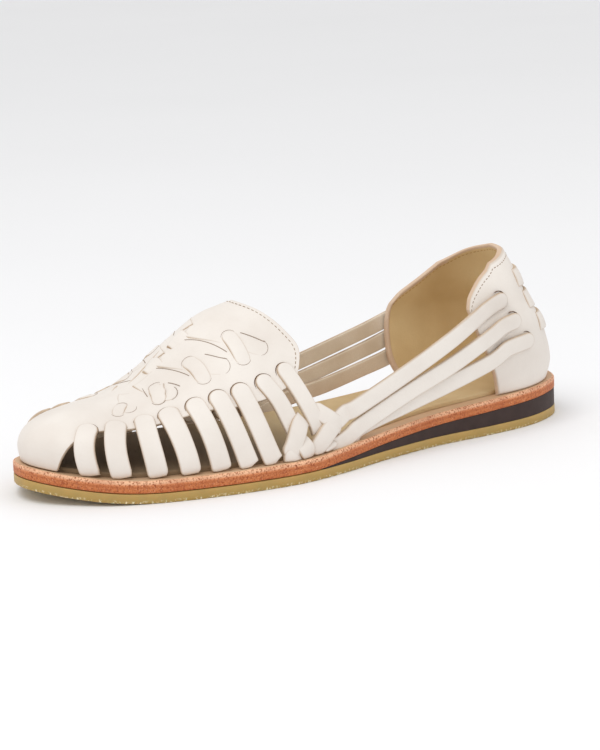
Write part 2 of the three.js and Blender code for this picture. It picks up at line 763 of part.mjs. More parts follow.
const leather = new THREE.MeshStandardMaterial({ color: 0xeee6dc, roughness: 0.6, metalness: 0 });
const tanLeather = new THREE.MeshStandardMaterial({ color: 0xc8694a, roughness: 0.55, metalness: 0 });
const sockLeather = new THREE.MeshStandardMaterial({ color: 0xcdb483, roughness: 0.75, metalness: 0 });
const crepe = new THREE.MeshStandardMaterial({ color: 0xc8a046, roughness: 0.8, metalness: 0 });
const darkRubber = new THREE.MeshStandardMaterial({ color: 0x41302e, roughness: 0.7, metalness: 0 });

const sandal = new THREE.Group();

function addPiece(name, geometry, material) {
  const mesh = new THREE.Mesh(geometry, material);
  mesh.name = name;
  sandal.add(mesh);
}

addPiece("outsole", outsoleShape(), crepe);
addPiece("heel_wedge", wedgeShape(), darkRubber);
addPiece("midsole", midsoleShape(), tanLeather);
addPiece("insole", insoleShape(), sockLeather);
addPiece("upper", upperShape(), leather);
addPiece("heel_counter", counterShape(), leather);
for (const band of HEEL_BANDS) {
  addPiece(band.name, heelBandShape(band), leather);
}

export default sandal;
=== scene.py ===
# %% [markdown]
# # A woven huarache sandal
# The sandal is a last (the wooden foot a shoemaker works on) with leather laid over it. Each
# lesson below takes one piece of leather, says where it lies on the last, and turns that into
# a surface. Everything is worked out in millimetres and put into meshes in metres.

import math

import bmesh
import bpy
import numpy as np
from mathutils import Matrix, Vector


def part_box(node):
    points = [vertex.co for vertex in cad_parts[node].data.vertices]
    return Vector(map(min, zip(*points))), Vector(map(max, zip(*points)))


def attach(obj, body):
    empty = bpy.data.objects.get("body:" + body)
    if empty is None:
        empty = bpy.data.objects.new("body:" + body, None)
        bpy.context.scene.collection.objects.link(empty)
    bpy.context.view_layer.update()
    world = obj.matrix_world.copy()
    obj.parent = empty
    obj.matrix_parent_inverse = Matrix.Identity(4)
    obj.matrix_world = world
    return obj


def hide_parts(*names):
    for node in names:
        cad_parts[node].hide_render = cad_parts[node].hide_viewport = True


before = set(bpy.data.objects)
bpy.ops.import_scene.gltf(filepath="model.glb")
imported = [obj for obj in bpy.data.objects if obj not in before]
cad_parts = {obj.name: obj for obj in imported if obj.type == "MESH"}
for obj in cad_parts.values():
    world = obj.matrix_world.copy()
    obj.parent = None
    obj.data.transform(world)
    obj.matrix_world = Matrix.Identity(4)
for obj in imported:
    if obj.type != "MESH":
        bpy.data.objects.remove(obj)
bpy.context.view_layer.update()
print("the frame's nodes:", sorted(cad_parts))

# %% [markdown]
# The driving dimensions come from the frame, so the looks can't drift away from the solids.
# The small ones are those of the trade: leather is 1.8 mm thick, and straps are cut to width.

# %% Driving dimensions
MM = 0.001


def node_size(node):
    """A solid's lowest and highest corner, in millimetres."""
    low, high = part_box(node)
    return np.array(low) / MM, np.array(high) / MM


SHOE_LENGTH = float(node_size("outsole")[1][1] - node_size("outsole")[0][1])
BALL_WIDTH = float(node_size("outsole")[1][0] - node_size("outsole")[0][0])
HEEL_CUP_HEIGHT = float(node_size("heel_counter")[1][2])
INSTEP_HEIGHT = 56.5
TOE_SPRING = 5.6
SPRING_START = -0.325
GAP = 0.3
OUTSOLE_THICKNESS = 3.9
MIDSOLE_THICKNESS = 4.9
HEEL_LIFT = 7.4
LIFT_START = -0.078
LEDGE = 5.0
WALL = 1.8
SOFT_EDGE = 0.5
STRAP_WIDTH = 8.3
LONG_STRAP_WIDTH = 7.2
CUP_CLEARANCE = 0.8
COUNTER_WALL = 2.6
print(f"length {SHOE_LENGTH:.1f} mm, ball width {BALL_WIDTH:.1f} mm, cup {HEEL_CUP_HEIGHT:.1f} mm")

# %% [markdown]
# A last is described the way a pattern cutter does it: sections at stations along the foot.
# Each table below has named columns and one row per section.

# %% Section tables


def table(columns, rows):
    """Rows of numbers as one array for each named column."""
    return dict(zip(columns.split(), np.array(rows, float).T))


SOLE = table("along medial lateral", [
    (-0.5, -0.066, -0.066), (-0.488, -0.202, 0.047), (-0.455, -0.324, 0.165),
    (-0.404, -0.424, 0.289), (-0.337, -0.485, 0.378), (-0.267, -0.5, 0.438),
    (-0.188, -0.487, 0.482), (-0.106, -0.437, 0.5), (-0.02, -0.375, 0.462),
    (0.078, -0.322, 0.39), (0.188, -0.31, 0.336), (0.298, -0.333, 0.327),
    (0.38, -0.331, 0.301), (0.439, -0.28, 0.239), (0.482, -0.165, 0.14),
    (0.5, -0.017, -0.017),
])
LAST_STATION = len(SOLE["along"]) - 1

VAMP = table("along ridge height across up_lateral up_medial bulge", [
    (-0.5, -0.066, 0.407, 2.5, 2.1, 2.1, 3.8), (-0.44, -0.066, 0.425, 2.4, 2.1, 2.1, 3.4),
    (-0.392, -0.066, 0.425, 2.25, 2.05, 2.1, 2.6), (-0.345, -0.066, 0.436, 2.1, 2.0, 2.1, 2.0),
    (-0.298, -0.07, 0.492, 2.0, 1.9, 2.0, 1.6), (-0.251, -0.077, 0.627, 2.0, 1.65, 1.8, 1.4),
    (-0.204, -0.083, 0.784, 2.0, 1.3, 1.6, 1.4), (-0.157, -0.088, 0.917, 2.0, 1.2, 1.5, 1.4),
    (-0.11, -0.094, 0.972, 2.0, 1.2, 1.5, 1.2), (-0.047, -0.099, 0.985, 2.0, 1.3, 1.6, 1.0),
    (0.016, -0.099, 0.956, 2.0, 1.4, 1.6, 0.8),
])
TOE_CENTRE = -0.286

CUP = table("up half_width back front_lateral front_medial", [
    (0.21, 0.295, 0.478, 1.33, 2.9), (0.33, 0.319, 0.486, 1.6, 3.3),
    (0.48, 0.336, 0.473, 2.13, 3.35), (0.61, 0.334, 0.454, 2.58, 3.25),
    (0.71, 0.302, 0.434, 2.72, 3.05), (0.87, 0.242, 0.415, 2.72, 3.0),
    (1.0, 0.171, 0.398, 2.72, 3.0),
])
HEEL_CENTRE = 0.337
HEEL_ROUNDNESS = 2.2
HEEL_TURN = 10
HEEL_TAPER = 0.03

COLLAR = table("round lateral medial", [
    (0, 1.0, 1.0), (0.19, 0.985, 0.955), (0.33, 0.95, 0.885), (0.46, 0.91, 0.845),
    (0.62, 0.875, 0.8), (0.76, 0.835, 0.765), (0.92, 0.775, 0.72), (1, 0.715, 0.665),
])
VAMP_EDGE = table("station climb", [
    (0, 0), (1.5, 0), (1.75, 0.13), (1.93, 0.26), (2.19, 0.4), (2.5, 0.46), (3.3, 0.49),
    (4.5, 0.48), (5.1, 0.455), (6.0, 0.425), (6.6, 0.42), (7.2, 0.45),
])
PLATE_EDGE = table("climb station", [
    (0.42, 7.15), (0.48, 7.42), (0.575, 7.64), (0.675, 7.54), (0.8, 7.35), (0.9, 7.17),
    (0.96, 7.1), (1, 7.09),
])
PLATE_START = 5.6
PLATE_STATION = 7.2

# %% [markdown]
# Two kinds of curve run through the tables. One goes through rows at any spacing with the
# slope of the neighbouring rows; the other goes through evenly numbered stations.

# %% Curves through tables


def row_slopes(x, v):
    """The slope at each row: that of the line between its two neighbours."""
    slope = np.empty_like(v)
    slope[1:-1] = (v[2:] - v[:-2]) / (x[2:] - x[:-2])
    slope[0] = (v[1] - v[0]) / (x[1] - x[0])
    slope[-1] = (v[-1] - v[-2]) / (x[-1] - x[-2])
    return slope


def smooth_column(rows, key, column, at):
    """A cubic between two rows that takes each row's value and slope."""
    x, v = rows[key], rows[column]
    at = np.clip(at, x[0], x[-1])
    i = np.clip(np.searchsorted(x, at, side="right") - 1, 0, len(x) - 2)
    slope = row_slopes(x, v)
    width = x[i + 1] - x[i]
    t = (at - x[i]) / width
    ends = v[i] * (2 * t**3 - 3 * t**2 + 1) + v[i + 1] * (3 * t**2 - 2 * t**3)
    return ends + width * (slope[i] * (t**3 - 2 * t**2 + t) + slope[i + 1] * (t**3 - t**2))


def through_stations(values, before, after, at):
    """Catmull-Rom: a cubic between stations, with one ghost value past each end."""
    ghosts = np.concatenate([[before], values, [after]])
    at = np.clip(at, 0, len(values) - 1 - 1e-9)
    i = np.floor(at).astype(int)
    t = at - i
    a, b, c, d = ghosts[i], ghosts[i + 1], ghosts[i + 2], ghosts[i + 3]
    square = (2 * a - 5 * b + 4 * c - d) * t**2
    return 0.5 * (2 * b + (c - a) * t + square + (3 * b - a - 3 * c + d) * t**3)


def unit(v):
    """Vectors of length 1."""
    return v / np.maximum(np.linalg.norm(v, axis=-1, keepdims=True), 1e-12)


# %% [markdown]
# The sole's edge is the base line of the whole shoe. Moving it inwards, square to itself,
# gives the line where the upper stands on the midsole.

# %% The sole's edge
EDGE_ALONG = SOLE["along"] * SHOE_LENGTH
EDGE_MEDIAL = SOLE["medial"] * BALL_WIDTH
EDGE_LATERAL = SOLE["lateral"] * BALL_WIDTH


def sole_edge(side, station):
    """The edge at a station: 0 is the toe's tip and 15 the back of the heel."""
    side, station = np.broadcast_arrays(side, station)
    along = through_stations(EDGE_ALONG, EDGE_ALONG[1], EDGE_ALONG[-2], station)
    lateral = through_stations(EDGE_LATERAL, EDGE_MEDIAL[1], EDGE_MEDIAL[-2], station)
    medial = through_stations(EDGE_MEDIAL, EDGE_LATERAL[1], EDGE_LATERAL[-2], station)
    return np.where(side > 0, lateral, medial), along


def inset_edge(side, station, inset):
    """The edge moved inwards along its own normal."""
    step = 1e-3
    side, station, inset = np.broadcast_arrays(side, station, inset)
    x, y = sole_edge(side, station)
    past = station + step > LAST_STATION
    ahead = np.where(past, 2 * LAST_STATION - station - step, station + step)
    x1, y1 = sole_edge(np.where(past, -side, side), ahead)
    x0, y0 = sole_edge(np.where(station < step, -side, side), np.abs(station - step))
    dx, dy = x1 - x0, y1 - y0
    length = np.hypot(dx, dy)
    return x - side * inset * dy / length, y + side * inset * dx / length


def toe_spring(y):
    """The toe lifts as the square of the way past the ball."""
    start = SPRING_START * SHOE_LENGTH
    return TOE_SPRING * (np.maximum(start - y, 0) / (SHOE_LENGTH / 2 + start)) ** 2


def heel_lift(y):
    """The wedge's height: it rises fast behind the ball and levels out at the heel."""
    start = LIFT_START * SHOE_LENGTH
    share = np.clip((y - start) / (SHOE_LENGTH / 2 - start), 0, 1)
    return HEEL_LIFT * (1 - (1 - share) ** 1.6)


def outsole_top(y):
    """The upper face of the crepe."""
    return toe_spring(y) + OUTSOLE_THICKNESS


def midsole_top(y):
    """The upper face of the leather midsole."""
    return outsole_top(y) + GAP + heel_lift(y) + MIDSOLE_THICKNESS


print(f"midsole top at the ball {midsole_top(-50.0):.1f} mm, at the heel {midsole_top(110.0):.1f} mm")

# %% [markdown]
# The last's surface over the forefoot is found by walking round the sole's edge (station),
# climbing from the edge to the instep's ridge (climb, 0 to 1; past 1 it goes down the other
# side) and standing proud by some millimetres. The heel cup has its own surface.

# %% The last


def vamp_point(side, station, climb, proud):
    """Each cross section is a squashed ellipse from the inset edge up to the ridge."""
    side, station, climb, proud = np.broadcast_arrays(side, station, climb, proud)
    side = np.where(climb > 1, -side, side)
    climb = np.clip(np.where(climb > 1, 2 - climb, climb), 0, 1)
    edge_y = sole_edge(side, station)[1]
    foot_x, foot_y = inset_edge(side, station, LEDGE - proud)
    at = edge_y / SHOE_LENGTH
    ridge_y = np.maximum(edge_y, TOE_CENTRE * SHOE_LENGTH)
    ridge_x = smooth_column(VAMP, "along", "ridge", ridge_y / SHOE_LENGTH) * BALL_WIDTH
    angle = climb * math.pi / 2
    up_lateral = smooth_column(VAMP, "along", "up_lateral", at)
    up_medial = smooth_column(VAMP, "along", "up_medial", at)
    power = np.where(side > 0, up_lateral, up_medial)
    out_share = np.maximum(np.cos(angle), 0) ** (2 / smooth_column(VAMP, "along", "across", at))
    up_share = np.maximum(np.sin(angle), 0) ** (2 / power)
    reach = np.hypot(foot_x - ridge_x, foot_y - ridge_y)
    swell = 1.3 * smooth_column(VAMP, "along", "bulge", at) * np.sin(2 * angle) * np.cos(angle)
    out = out_share + swell / reach
    x = ridge_x + out * (foot_x - ridge_x)
    y = ridge_y + out * (foot_y - ridge_y)
    crest = smooth_column(VAMP, "along", "height", y / SHOE_LENGTH) * INSTEP_HEIGHT + proud
    return np.stack([x, y, midsole_top(y) + GAP + up_share * crest], -1)


def cup_point(turn, up, proud):
    """Each level is half of a rounded oblong, with straight wings past one full turn."""
    turn, up, proud = np.broadcast_arrays(turn, up, proud)
    half_width = smooth_column(CUP, "up", "half_width", up) * BALL_WIDTH + proud
    centre = HEEL_CENTRE * SHOE_LENGTH
    reach = smooth_column(CUP, "up", "back", up) * SHOE_LENGTH - centre + proud
    angle = np.minimum(np.abs(turn), 1) * math.pi / 2
    forward = np.maximum(np.abs(turn) - 1, 0) * HEEL_TURN
    power = 2 / HEEL_ROUNDNESS
    x = np.sign(turn) * (half_width * np.sin(angle) ** power - HEEL_TAPER * forward)
    y = centre + reach * np.maximum(np.cos(angle), 0) ** power - forward
    return np.stack([x - 0.6, y, up * HEEL_CUP_HEIGHT], -1)


def vamp_side(side):
    """The last's surface on one side, as a function of station, climb and proud."""
    return lambda station, climb, proud: vamp_point(side, station, climb, proud)


def cup_side(side):
    """The cup's surface on one side, with turns counted from the back seam."""
    return lambda turn, up, proud: cup_point(side * turn, up, proud)


LOWEST_SLOPE = 0.03
WALK_STEPS = 3


def local_frame(surface, a, b):
    """Unit vectors along the surface, up the surface, and the two partial slopes."""
    da, db = 0.01, 0.004
    b = np.maximum(b, LOWEST_SLOPE)
    slope_a = (surface(a + da, b, 0) - surface(a - da, b, 0)) / (2 * da)
    slope_b = (surface(a, b + db, 0) - surface(a, b - db, 0)) / (2 * db)
    along = unit(slope_a)
    up = unit(slope_b - np.sum(slope_b * along, -1, keepdims=True) * along)
    return along, up, slope_a, slope_b


def near(surface, a, b, ahead, rise, proud):
    """The point some millimetres ahead of and above the place (a, b), reached in short steps."""
    for _ in range(WALK_STEPS):
        along, up, slope_a, slope_b = local_frame(surface, a, b)
        step_b = rise / WALK_STEPS / np.sum(slope_b * up, -1)
        step_a = (ahead / WALK_STEPS - step_b * np.sum(slope_b * along, -1)) / np.linalg.norm(slope_a, axis=-1)
        a, b = a + step_a, b + step_b
    return surface(a, b, proud)


print("instep ridge at", np.round(vamp_point(1, 6.9, 1.0, WALL), 1))

# %% [markdown]
# Every leather piece is the space between two such surfaces, with its cut edges softened.
# The softening is a quarter circle: a point closer to a cut edge than the edge's radius is
# drawn towards the middle of the leather, until the two faces meet at the edge itself.

# %% Leather from two surfaces


def edge_steps(count, length, low=True, high=True, radius=SOFT_EDGE):
    """Shares from 0 to 1, crowded where a cut edge is rounded."""
    crowd = np.array([0, 0.08, 0.3, 0.62]) * radius / length
    start = crowd if low else np.array([])
    end = 1 - crowd[::-1] if high else np.array([])
    first = radius / length if low else 0
    last = 1 - radius / length if high else 1
    return np.concatenate([start, np.linspace(first, last, count), end])


def border_distance(middle, sides):
    """How far each grid point is from the named borders, walking along the grid."""
    walk_a = np.linalg.norm(np.diff(middle, axis=0), axis=-1)
    walk_b = np.linalg.norm(np.diff(middle, axis=1), axis=-1)
    from_a = np.concatenate([np.zeros((1, middle.shape[1])), np.cumsum(walk_a, 0)])
    from_b = np.concatenate([np.zeros((middle.shape[0], 1)), np.cumsum(walk_b, 1)], 1)
    ways = {"a0": from_a, "a1": from_a[-1:] - from_a, "b0": from_b, "b1": from_b[:, -1:] - from_b}
    return np.minimum.reduce([ways[side] for side in sides])


def wall_part(outer, inner, distance, radius=SOFT_EDGE, band=0.0):
    """Both faces of a piece of leather as one set of points, quads, face kinds and wear."""
    keep = np.sqrt(1 - (1 - np.clip(distance / radius, 0, 1)) ** 2)[..., None]
    middle, half = (outer + inner) / 2, (outer - inner) / 2
    rows, columns = distance.shape
    points = np.concatenate([(middle + keep * half).reshape(-1, 3), (middle - keep * half).reshape(-1, 3)])
    index = np.arange(rows * columns).reshape(rows, columns)
    quad = np.stack([index[:-1, :-1], index[1:, :-1], index[1:, 1:], index[:-1, 1:]], -1).reshape(-1, 4)
    quads = np.concatenate([quad, quad[:, ::-1] + rows * columns])
    nearest = distance.ravel()[quad].mean(1)
    face = np.where(nearest < 0.45 * radius, 2, 0)
    back = np.where(nearest < 0.45 * radius, 2, np.where(nearest < band, 3, 1))
    wear = np.clip(1 - distance.ravel() / (2.2 * radius), 0, 1)
    return points, quads, np.concatenate([face, back]), np.concatenate([wear, wear])


def join_parts(parts):
    """Several sets of points and quads as one."""
    start = np.cumsum([0] + [len(part[0]) for part in parts[:-1]])
    quads = np.concatenate([part[1] + s for part, s in zip(parts, start)])
    return (np.concatenate([part[0] for part in parts]), quads,
            np.concatenate([part[2] for part in parts]), np.concatenate([part[3] for part in parts]))


def close_seams(mesh):
    """Merge points that coincide, turn the faces outwards and smooth the shading."""
    work = bmesh.new()
    work.from_mesh(mesh)
    bmesh.ops.remove_doubles(work, verts=work.verts, dist=5e-7)
    bmesh.ops.dissolve_degenerate(work, dist=1e-7, edges=work.edges)
    work.to_mesh(mesh)
    work.free()
    mesh.polygons.foreach_set("use_smooth", np.ones(len(mesh.polygons), bool))


def add_piece(name, part, finishes, replaces=(), marks=None):
    """Put a part into a mesh in metres that rides on the frame, and print what it holds."""
    points, quads, kinds, wear = part
    corners = points[quads]
    volume = np.sum(np.cross(corners[:, 0] - corners[:, 2], corners[:, 1] - corners[:, 3])
                    * corners.mean(1)) / 6
    if volume < 0:
        quads = quads[:, ::-1]
    mesh = bpy.data.meshes.new(name)
    mesh.vertices.add(len(points))
    mesh.vertices.foreach_set("co", (points * MM).astype(np.float32).ravel())
    mesh.loops.add(quads.size)
    mesh.loops.foreach_set("vertex_index", quads.astype(np.int32).ravel())
    mesh.polygons.add(len(quads))
    mesh.polygons.foreach_set("loop_start", np.arange(0, quads.size, 4, dtype=np.int32))
    mesh.polygons.foreach_set("material_index", kinds.astype(np.int32))
    mesh.update(calc_edges=True)
    for mark, values in {"wear": wear, **(marks or {})}.items():
        mesh.attributes.new(mark, "FLOAT", "POINT").data.foreach_set("value", values.astype(np.float32))
    close_seams(mesh)
    for finish in finishes:
        mesh.materials.append(finish)
    piece = bpy.data.objects.new(name, mesh)
    bpy.context.scene.collection.objects.link(piece)
    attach(piece, "root")
    if replaces:
        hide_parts(*replaces)
    sides = np.zeros(len(mesh.loops), np.int32)
    mesh.loops.foreach_get("edge_index", sides)
    open_edges = int(np.sum(np.bincount(sides, minlength=len(mesh.edges)) != 2))
    print(f"{name}: {len(mesh.vertices)} points, {len(mesh.polygons)} faces, {open_edges} open edges")
    return piece


# %% [markdown]
# ## Finishes
# Smooth cream leather is never one colour: the dye sits darker in the pores and along the
# cut edges, and large soft patches differ a little. Each finish mixes its colours with noise
# on the piece's own coordinates and raises a grain with a bump.

# %% Material helpers


def colour(red, green, blue):
    """A colour as seen (0 to 255) turned into light, which is what shaders work in."""
    seen = np.array([red, green, blue]) / 255
    light = np.where(seen <= 0.04045, seen / 12.92, ((seen + 0.055) / 1.055) ** 2.4)
    return (*light.tolist(), 1.0)


def new_finish(name, roughness, **sockets):
    """A material with a Principled shader whose steady values are set on its own sockets."""
    finish = bpy.data.materials.new(name)
    finish.use_nodes = True
    shader = finish.node_tree.nodes["Principled BSDF"]
    shader.inputs["Roughness"].default_value = roughness
    for socket, value in sockets.items():
        shader.inputs[socket.replace("_", " ")].default_value = value
    return finish, finish.node_tree, shader


def noise(tree, size_mm, detail=3.0, stretch=(1, 1, 1), rough=0.5):
    """Noise whose lumps are about size_mm across, on the piece's own coordinates."""
    place = tree.nodes.new("ShaderNodeTexCoord")
    mapping = tree.nodes.new("ShaderNodeMapping")
    mapping.inputs["Scale"].default_value = stretch
    texture = tree.nodes.new("ShaderNodeTexNoise")
    texture.inputs["Scale"].default_value = 1 / (size_mm * MM)
    texture.inputs["Detail"].default_value = detail
    texture.inputs["Roughness"].default_value = rough
    tree.links.new(place.outputs["Object"], mapping.inputs["Vector"])
    tree.links.new(mapping.outputs["Vector"], texture.inputs["Vector"])
    return texture.outputs["Fac"]


def pores(tree, size_mm):
    """Cells like leather's grain: the distance to the nearest of many scattered points."""
    place = tree.nodes.new("ShaderNodeTexCoord")
    texture = tree.nodes.new("ShaderNodeTexVoronoi")
    texture.inputs["Scale"].default_value = 1 / (size_mm * MM)
    tree.links.new(place.outputs["Object"], texture.inputs["Vector"])
    return texture.outputs["Distance"]


def ramp(tree, value, low, high):
    """A value stretched so that low becomes 0 and high becomes 1."""
    stretch = tree.nodes.new("ShaderNodeMapRange")
    stretch.inputs["From Min"].default_value = low
    stretch.inputs["From Max"].default_value = high
    tree.links.new(value, stretch.inputs["Value"])
    return stretch.outputs["Result"]


def blend(tree, factor, first, second, way="MIX"):
    """Two colours mixed by a factor; each may be a plain colour or a socket."""
    mix = tree.nodes.new("ShaderNodeMix")
    mix.data_type = "RGBA"
    mix.blend_type = way
    for socket, value in (("Factor", factor), ("A", first), ("B", second)):
        place = [s for s in mix.inputs if s.name == socket and s.type != "VECTOR"]
        wanted = "VALUE" if socket == "Factor" else "RGBA"
        place = [s for s in place if s.type == wanted][0]
        if isinstance(value, bpy.types.NodeSocket):
            tree.links.new(value, place)
        else:
            place.default_value = value
    return [s for s in mix.outputs if s.type == "RGBA"][0]


def times(tree, value, factor):
    """A value times a number."""
    sum_node = tree.nodes.new("ShaderNodeMath")
    sum_node.operation = "MULTIPLY"
    sum_node.inputs[1].default_value = factor
    tree.links.new(value, sum_node.inputs[0])
    return sum_node.outputs["Value"]


def mark(tree, name):
    """The mesh's own number at each point, such as how near a cut edge is."""
    attribute = tree.nodes.new("ShaderNodeAttribute")
    attribute.attribute_name = name
    return attribute.outputs["Fac"]


def bump(tree, shader, layers):
    """Bumps laid over each other; each layer is a height, a depth in mm and a strength."""
    last = None
    for height, depth_mm, strength in layers:
        node = tree.nodes.new("ShaderNodeBump")
        node.inputs["Distance"].default_value = depth_mm * MM
        node.inputs["Strength"].default_value = strength
        tree.links.new(height, node.inputs["Height"])
        if last:
            tree.links.new(last.outputs["Normal"], node.inputs["Normal"])
        last = node
    tree.links.new(last.outputs["Normal"], shader.inputs["Normal"])


# %% Smooth cream leather, its back and its cut edge


def smooth_leather(name, light, shade, edge, roughness):
    """Soft patches, fine pores and a darker line where the leather was cut."""
    finish, tree, shader = new_finish(name, roughness, Specular_IOR_Level=0.35)
    patches = blend(tree, ramp(tree, noise(tree, 26, 3), 0.35, 0.7), light, shade)
    specks = blend(tree, times(tree, ramp(tree, noise(tree, 1.1, 2), 0.58, 0.8), 0.35), patches, shade)
    near_edge = times(tree, ramp(tree, mark(tree, "wear"), 0.35, 1.0), 0.75)
    tree.links.new(blend(tree, near_edge, specks, edge), shader.inputs["Base Color"])
    polish = ramp(tree, noise(tree, 9, 2), -1.2, 2.6)
    polish.node.inputs["To Min"].default_value = roughness - 0.1
    polish.node.inputs["To Max"].default_value = roughness + 0.12
    tree.links.new(polish, shader.inputs["Roughness"])
    bump(tree, shader, [(noise(tree, 7.0, 2), 0.5, 0.35), (pores(tree, 0.75), 0.09, 0.3),
                        (noise(tree, 0.4, 3), 0.05, 0.3)])
    return finish


def fibrous_leather(name, light, shade, roughness, grain_mm=0.5):
    """The flesh side and the cut edge: short fibres with no grain."""
    finish, tree, shader = new_finish(name, roughness, Specular_IOR_Level=0.2)
    patches = blend(tree, ramp(tree, noise(tree, 14, 4), 0.3, 0.75), light, shade)
    fibres = blend(tree, times(tree, ramp(tree, noise(tree, grain_mm, 4), 0.4, 0.75), 0.6), patches, shade)
    tree.links.new(fibres, shader.inputs["Base Color"])
    bump(tree, shader, [(noise(tree, grain_mm, 4), 0.16, 0.55)])
    return finish


cream = smooth_leather("cream_leather", colour(233, 226, 218), colour(223, 214, 205), colour(188, 166, 142), 0.52)
suede = fibrous_leather("cream_suede_back", colour(232, 220, 203), colour(214, 198, 176), 0.9)
raw_edge = fibrous_leather("raw_cut_edge", colour(214, 196, 174), colour(176, 150, 124), 0.85, 0.35)
lining = smooth_leather("tan_lining", colour(224, 200, 154), colour(210, 182, 134), colour(200, 160, 118), 0.62)
def shaded_forward(finish, dark):
    """Darkens a finish towards the toe with painted shade, for the shade that falls under the covered vamp."""
    tree = finish.node_tree
    shader = next(node for node in tree.nodes if node.type == "BSDF_PRINCIPLED")
    base = shader.inputs["Base Color"].links[0].from_socket
    place = tree.nodes.new("ShaderNodeTexCoord")
    split = tree.nodes.new("ShaderNodeSeparateXYZ")
    tree.links.new(place.outputs["Object"], split.inputs["Vector"])
    forward = ramp(tree, split.outputs["Y"], SHADE_START, SHADE_END)
    tree.links.new(blend(tree, times(tree, forward, 0.85), base, dark), shader.inputs["Base Color"])


# Where the painted shade under the vamp begins and where it is full, in metres along the shoe.
SHADE_START, SHADE_END = -0.012, -0.04
sock = smooth_leather("sock_leather", colour(214, 190, 148), colour(198, 170, 126), colour(180, 145, 100), 0.7)
shaded_forward(sock, colour(120, 98, 76))
binding = fibrous_leather("rose_tan_binding", colour(220, 196, 172), colour(204, 174, 148), 0.75)
# Painted shade: slot_dark and seam are dark finishes for the shade in slots and along strap edges.
slot_dark = fibrous_leather("slot_shadow", colour(128, 102, 84), colour(92, 70, 56), 0.95)
seam = fibrous_leather("seam_shadow", colour(172, 156, 142), colour(144, 126, 112), 0.95)
# Painted shade: the vamp's inner face is dark brown to stand in for the shade inside the forefoot.
inside = fibrous_leather("painted_shade_inside", colour(140, 116, 96), colour(112, 92, 76), 0.95)
thread = fibrous_leather("beige_thread", colour(172, 150, 124), colour(134, 112, 88), 0.8, 0.3)
tan_thread = fibrous_leather("tan_thread", colour(206, 170, 120), colour(170, 128, 84), 0.8, 0.3)
LEATHER = (cream, suede, raw_edge)
print("leather finishes:", len(bpy.data.materials))

# %% [markdown]
# The midsole's edge is dyed, sanded and rubbed with wax, which leaves orange-brown speckles
# and a darker line in the middle; the lighter lip on top is painted highlight on the rounded
# edge. Crepe rubber is honey-coloured and cloudy, darker towards the ground with painted
# shade, and its lower edge is left rough.

# %% Sole finishes


def burnished_edge():
    """Speckles over a band of colour that follows the height up the edge (mark: rise), with a painted highlight on the
    rounded lip at the top.
    """
    finish, tree, shader = new_finish("burnished_midsole_edge", 0.55, Specular_IOR_Level=0.3)
    rise = mark(tree, "rise")
    body = blend(tree, ramp(tree, rise, 0.05, 0.55), colour(190, 108, 58), colour(208, 128, 76))
    band = blend(tree, times(tree, ramp(tree, rise, 0.3, 0.5), 0.5), body, colour(156, 80, 40))
    clear = blend(tree, ramp(tree, rise, 0.6, 0.74), band, colour(212, 132, 84))
    # Painted highlight: the rounded top edge is made lighter, as where light catches it.
    painted_lip_highlight = blend(tree, ramp(tree, rise, 0.76, 0.97), clear, colour(236, 186, 148))
    dark = blend(tree, ramp(tree, noise(tree, 0.8, 4), 0.49, 0.66), painted_lip_highlight, colour(150, 72, 36))
    light = blend(tree, times(tree, ramp(tree, noise(tree, 0.42, 2), 0.56, 0.72), 0.6), dark, colour(238, 176, 138))
    cloudy = blend(tree, times(tree, ramp(tree, noise(tree, 13, 2), 0.45, 0.7), 0.35), light, colour(166, 82, 44))
    tree.links.new(cloudy, shader.inputs["Base Color"])
    bump(tree, shader, [(noise(tree, 0.5, 3), 0.12, 0.5)])
    return finish


def crepe_rubber():
    """Cloudy honey rubber, darker towards the ground with painted shade, with pale crumbs where the lower edge is torn
    (mark: rise).
    """
    finish, tree, shader = new_finish("honey_crepe", 0.5, Specular_IOR_Level=0.4,
                                      Subsurface_Weight=0.12, Subsurface_Scale=0.004)
    rise = mark(tree, "rise")
    # Painted shade: the crepe's edge darkens towards the ground.
    shaded = blend(tree, ramp(tree, rise, 0.05, 0.95), colour(168, 138, 72), colour(186, 152, 88))
    cloudy = blend(tree, times(tree, ramp(tree, noise(tree, 7, 3), 0.4, 0.7), 0.6), shaded, colour(164, 138, 80))
    torn = tree.nodes.new("ShaderNodeMath")
    torn.operation = "MULTIPLY"
    tree.links.new(ramp(tree, rise, 0.34, 0.0), torn.inputs[0])
    tree.links.new(ramp(tree, noise(tree, 0.9, 2), 0.54, 0.66), torn.inputs[1])
    crumbs = blend(tree, torn.outputs["Value"], cloudy, colour(238, 226, 190))
    tree.links.new(crumbs, shader.inputs["Base Color"])
    bump(tree, shader, [(noise(tree, 1.6, 3), 0.35, 0.4), (noise(tree, 0.5, 2), 0.08, 0.3)])
    return finish


def plain_rubber():
    """Dark wedge rubber, ground smooth, with a faint grain from the wheel."""
    finish, tree, shader = new_finish("dark_wedge_rubber", 0.6, Specular_IOR_Level=0.3)
    body = blend(tree, ramp(tree, noise(tree, 5, 4), 0.3, 0.8), colour(62, 46, 42), colour(50, 36, 32))
    tree.links.new(body, shader.inputs["Base Color"])
    bump(tree, shader, [(noise(tree, 0.5, 3, (0.25, 0.25, 2)), 0.06, 0.4)])
    return finish


midsole_edge = burnished_edge()
crepe = crepe_rubber()
wedge_rubber = plain_rubber()
midsole_face = smooth_leather("midsole_face", colour(214, 180, 146), colour(200, 162, 126), colour(222, 160, 122), 0.6)

# %% [markdown]
# ## The sole
# Three layers are cut to one outline. A cross section at a station goes round the layer: in
# along the bottom, up the edge, and back along the top, with both corners rounded.

# %% Sole layers
SECTION_STEPS = 16


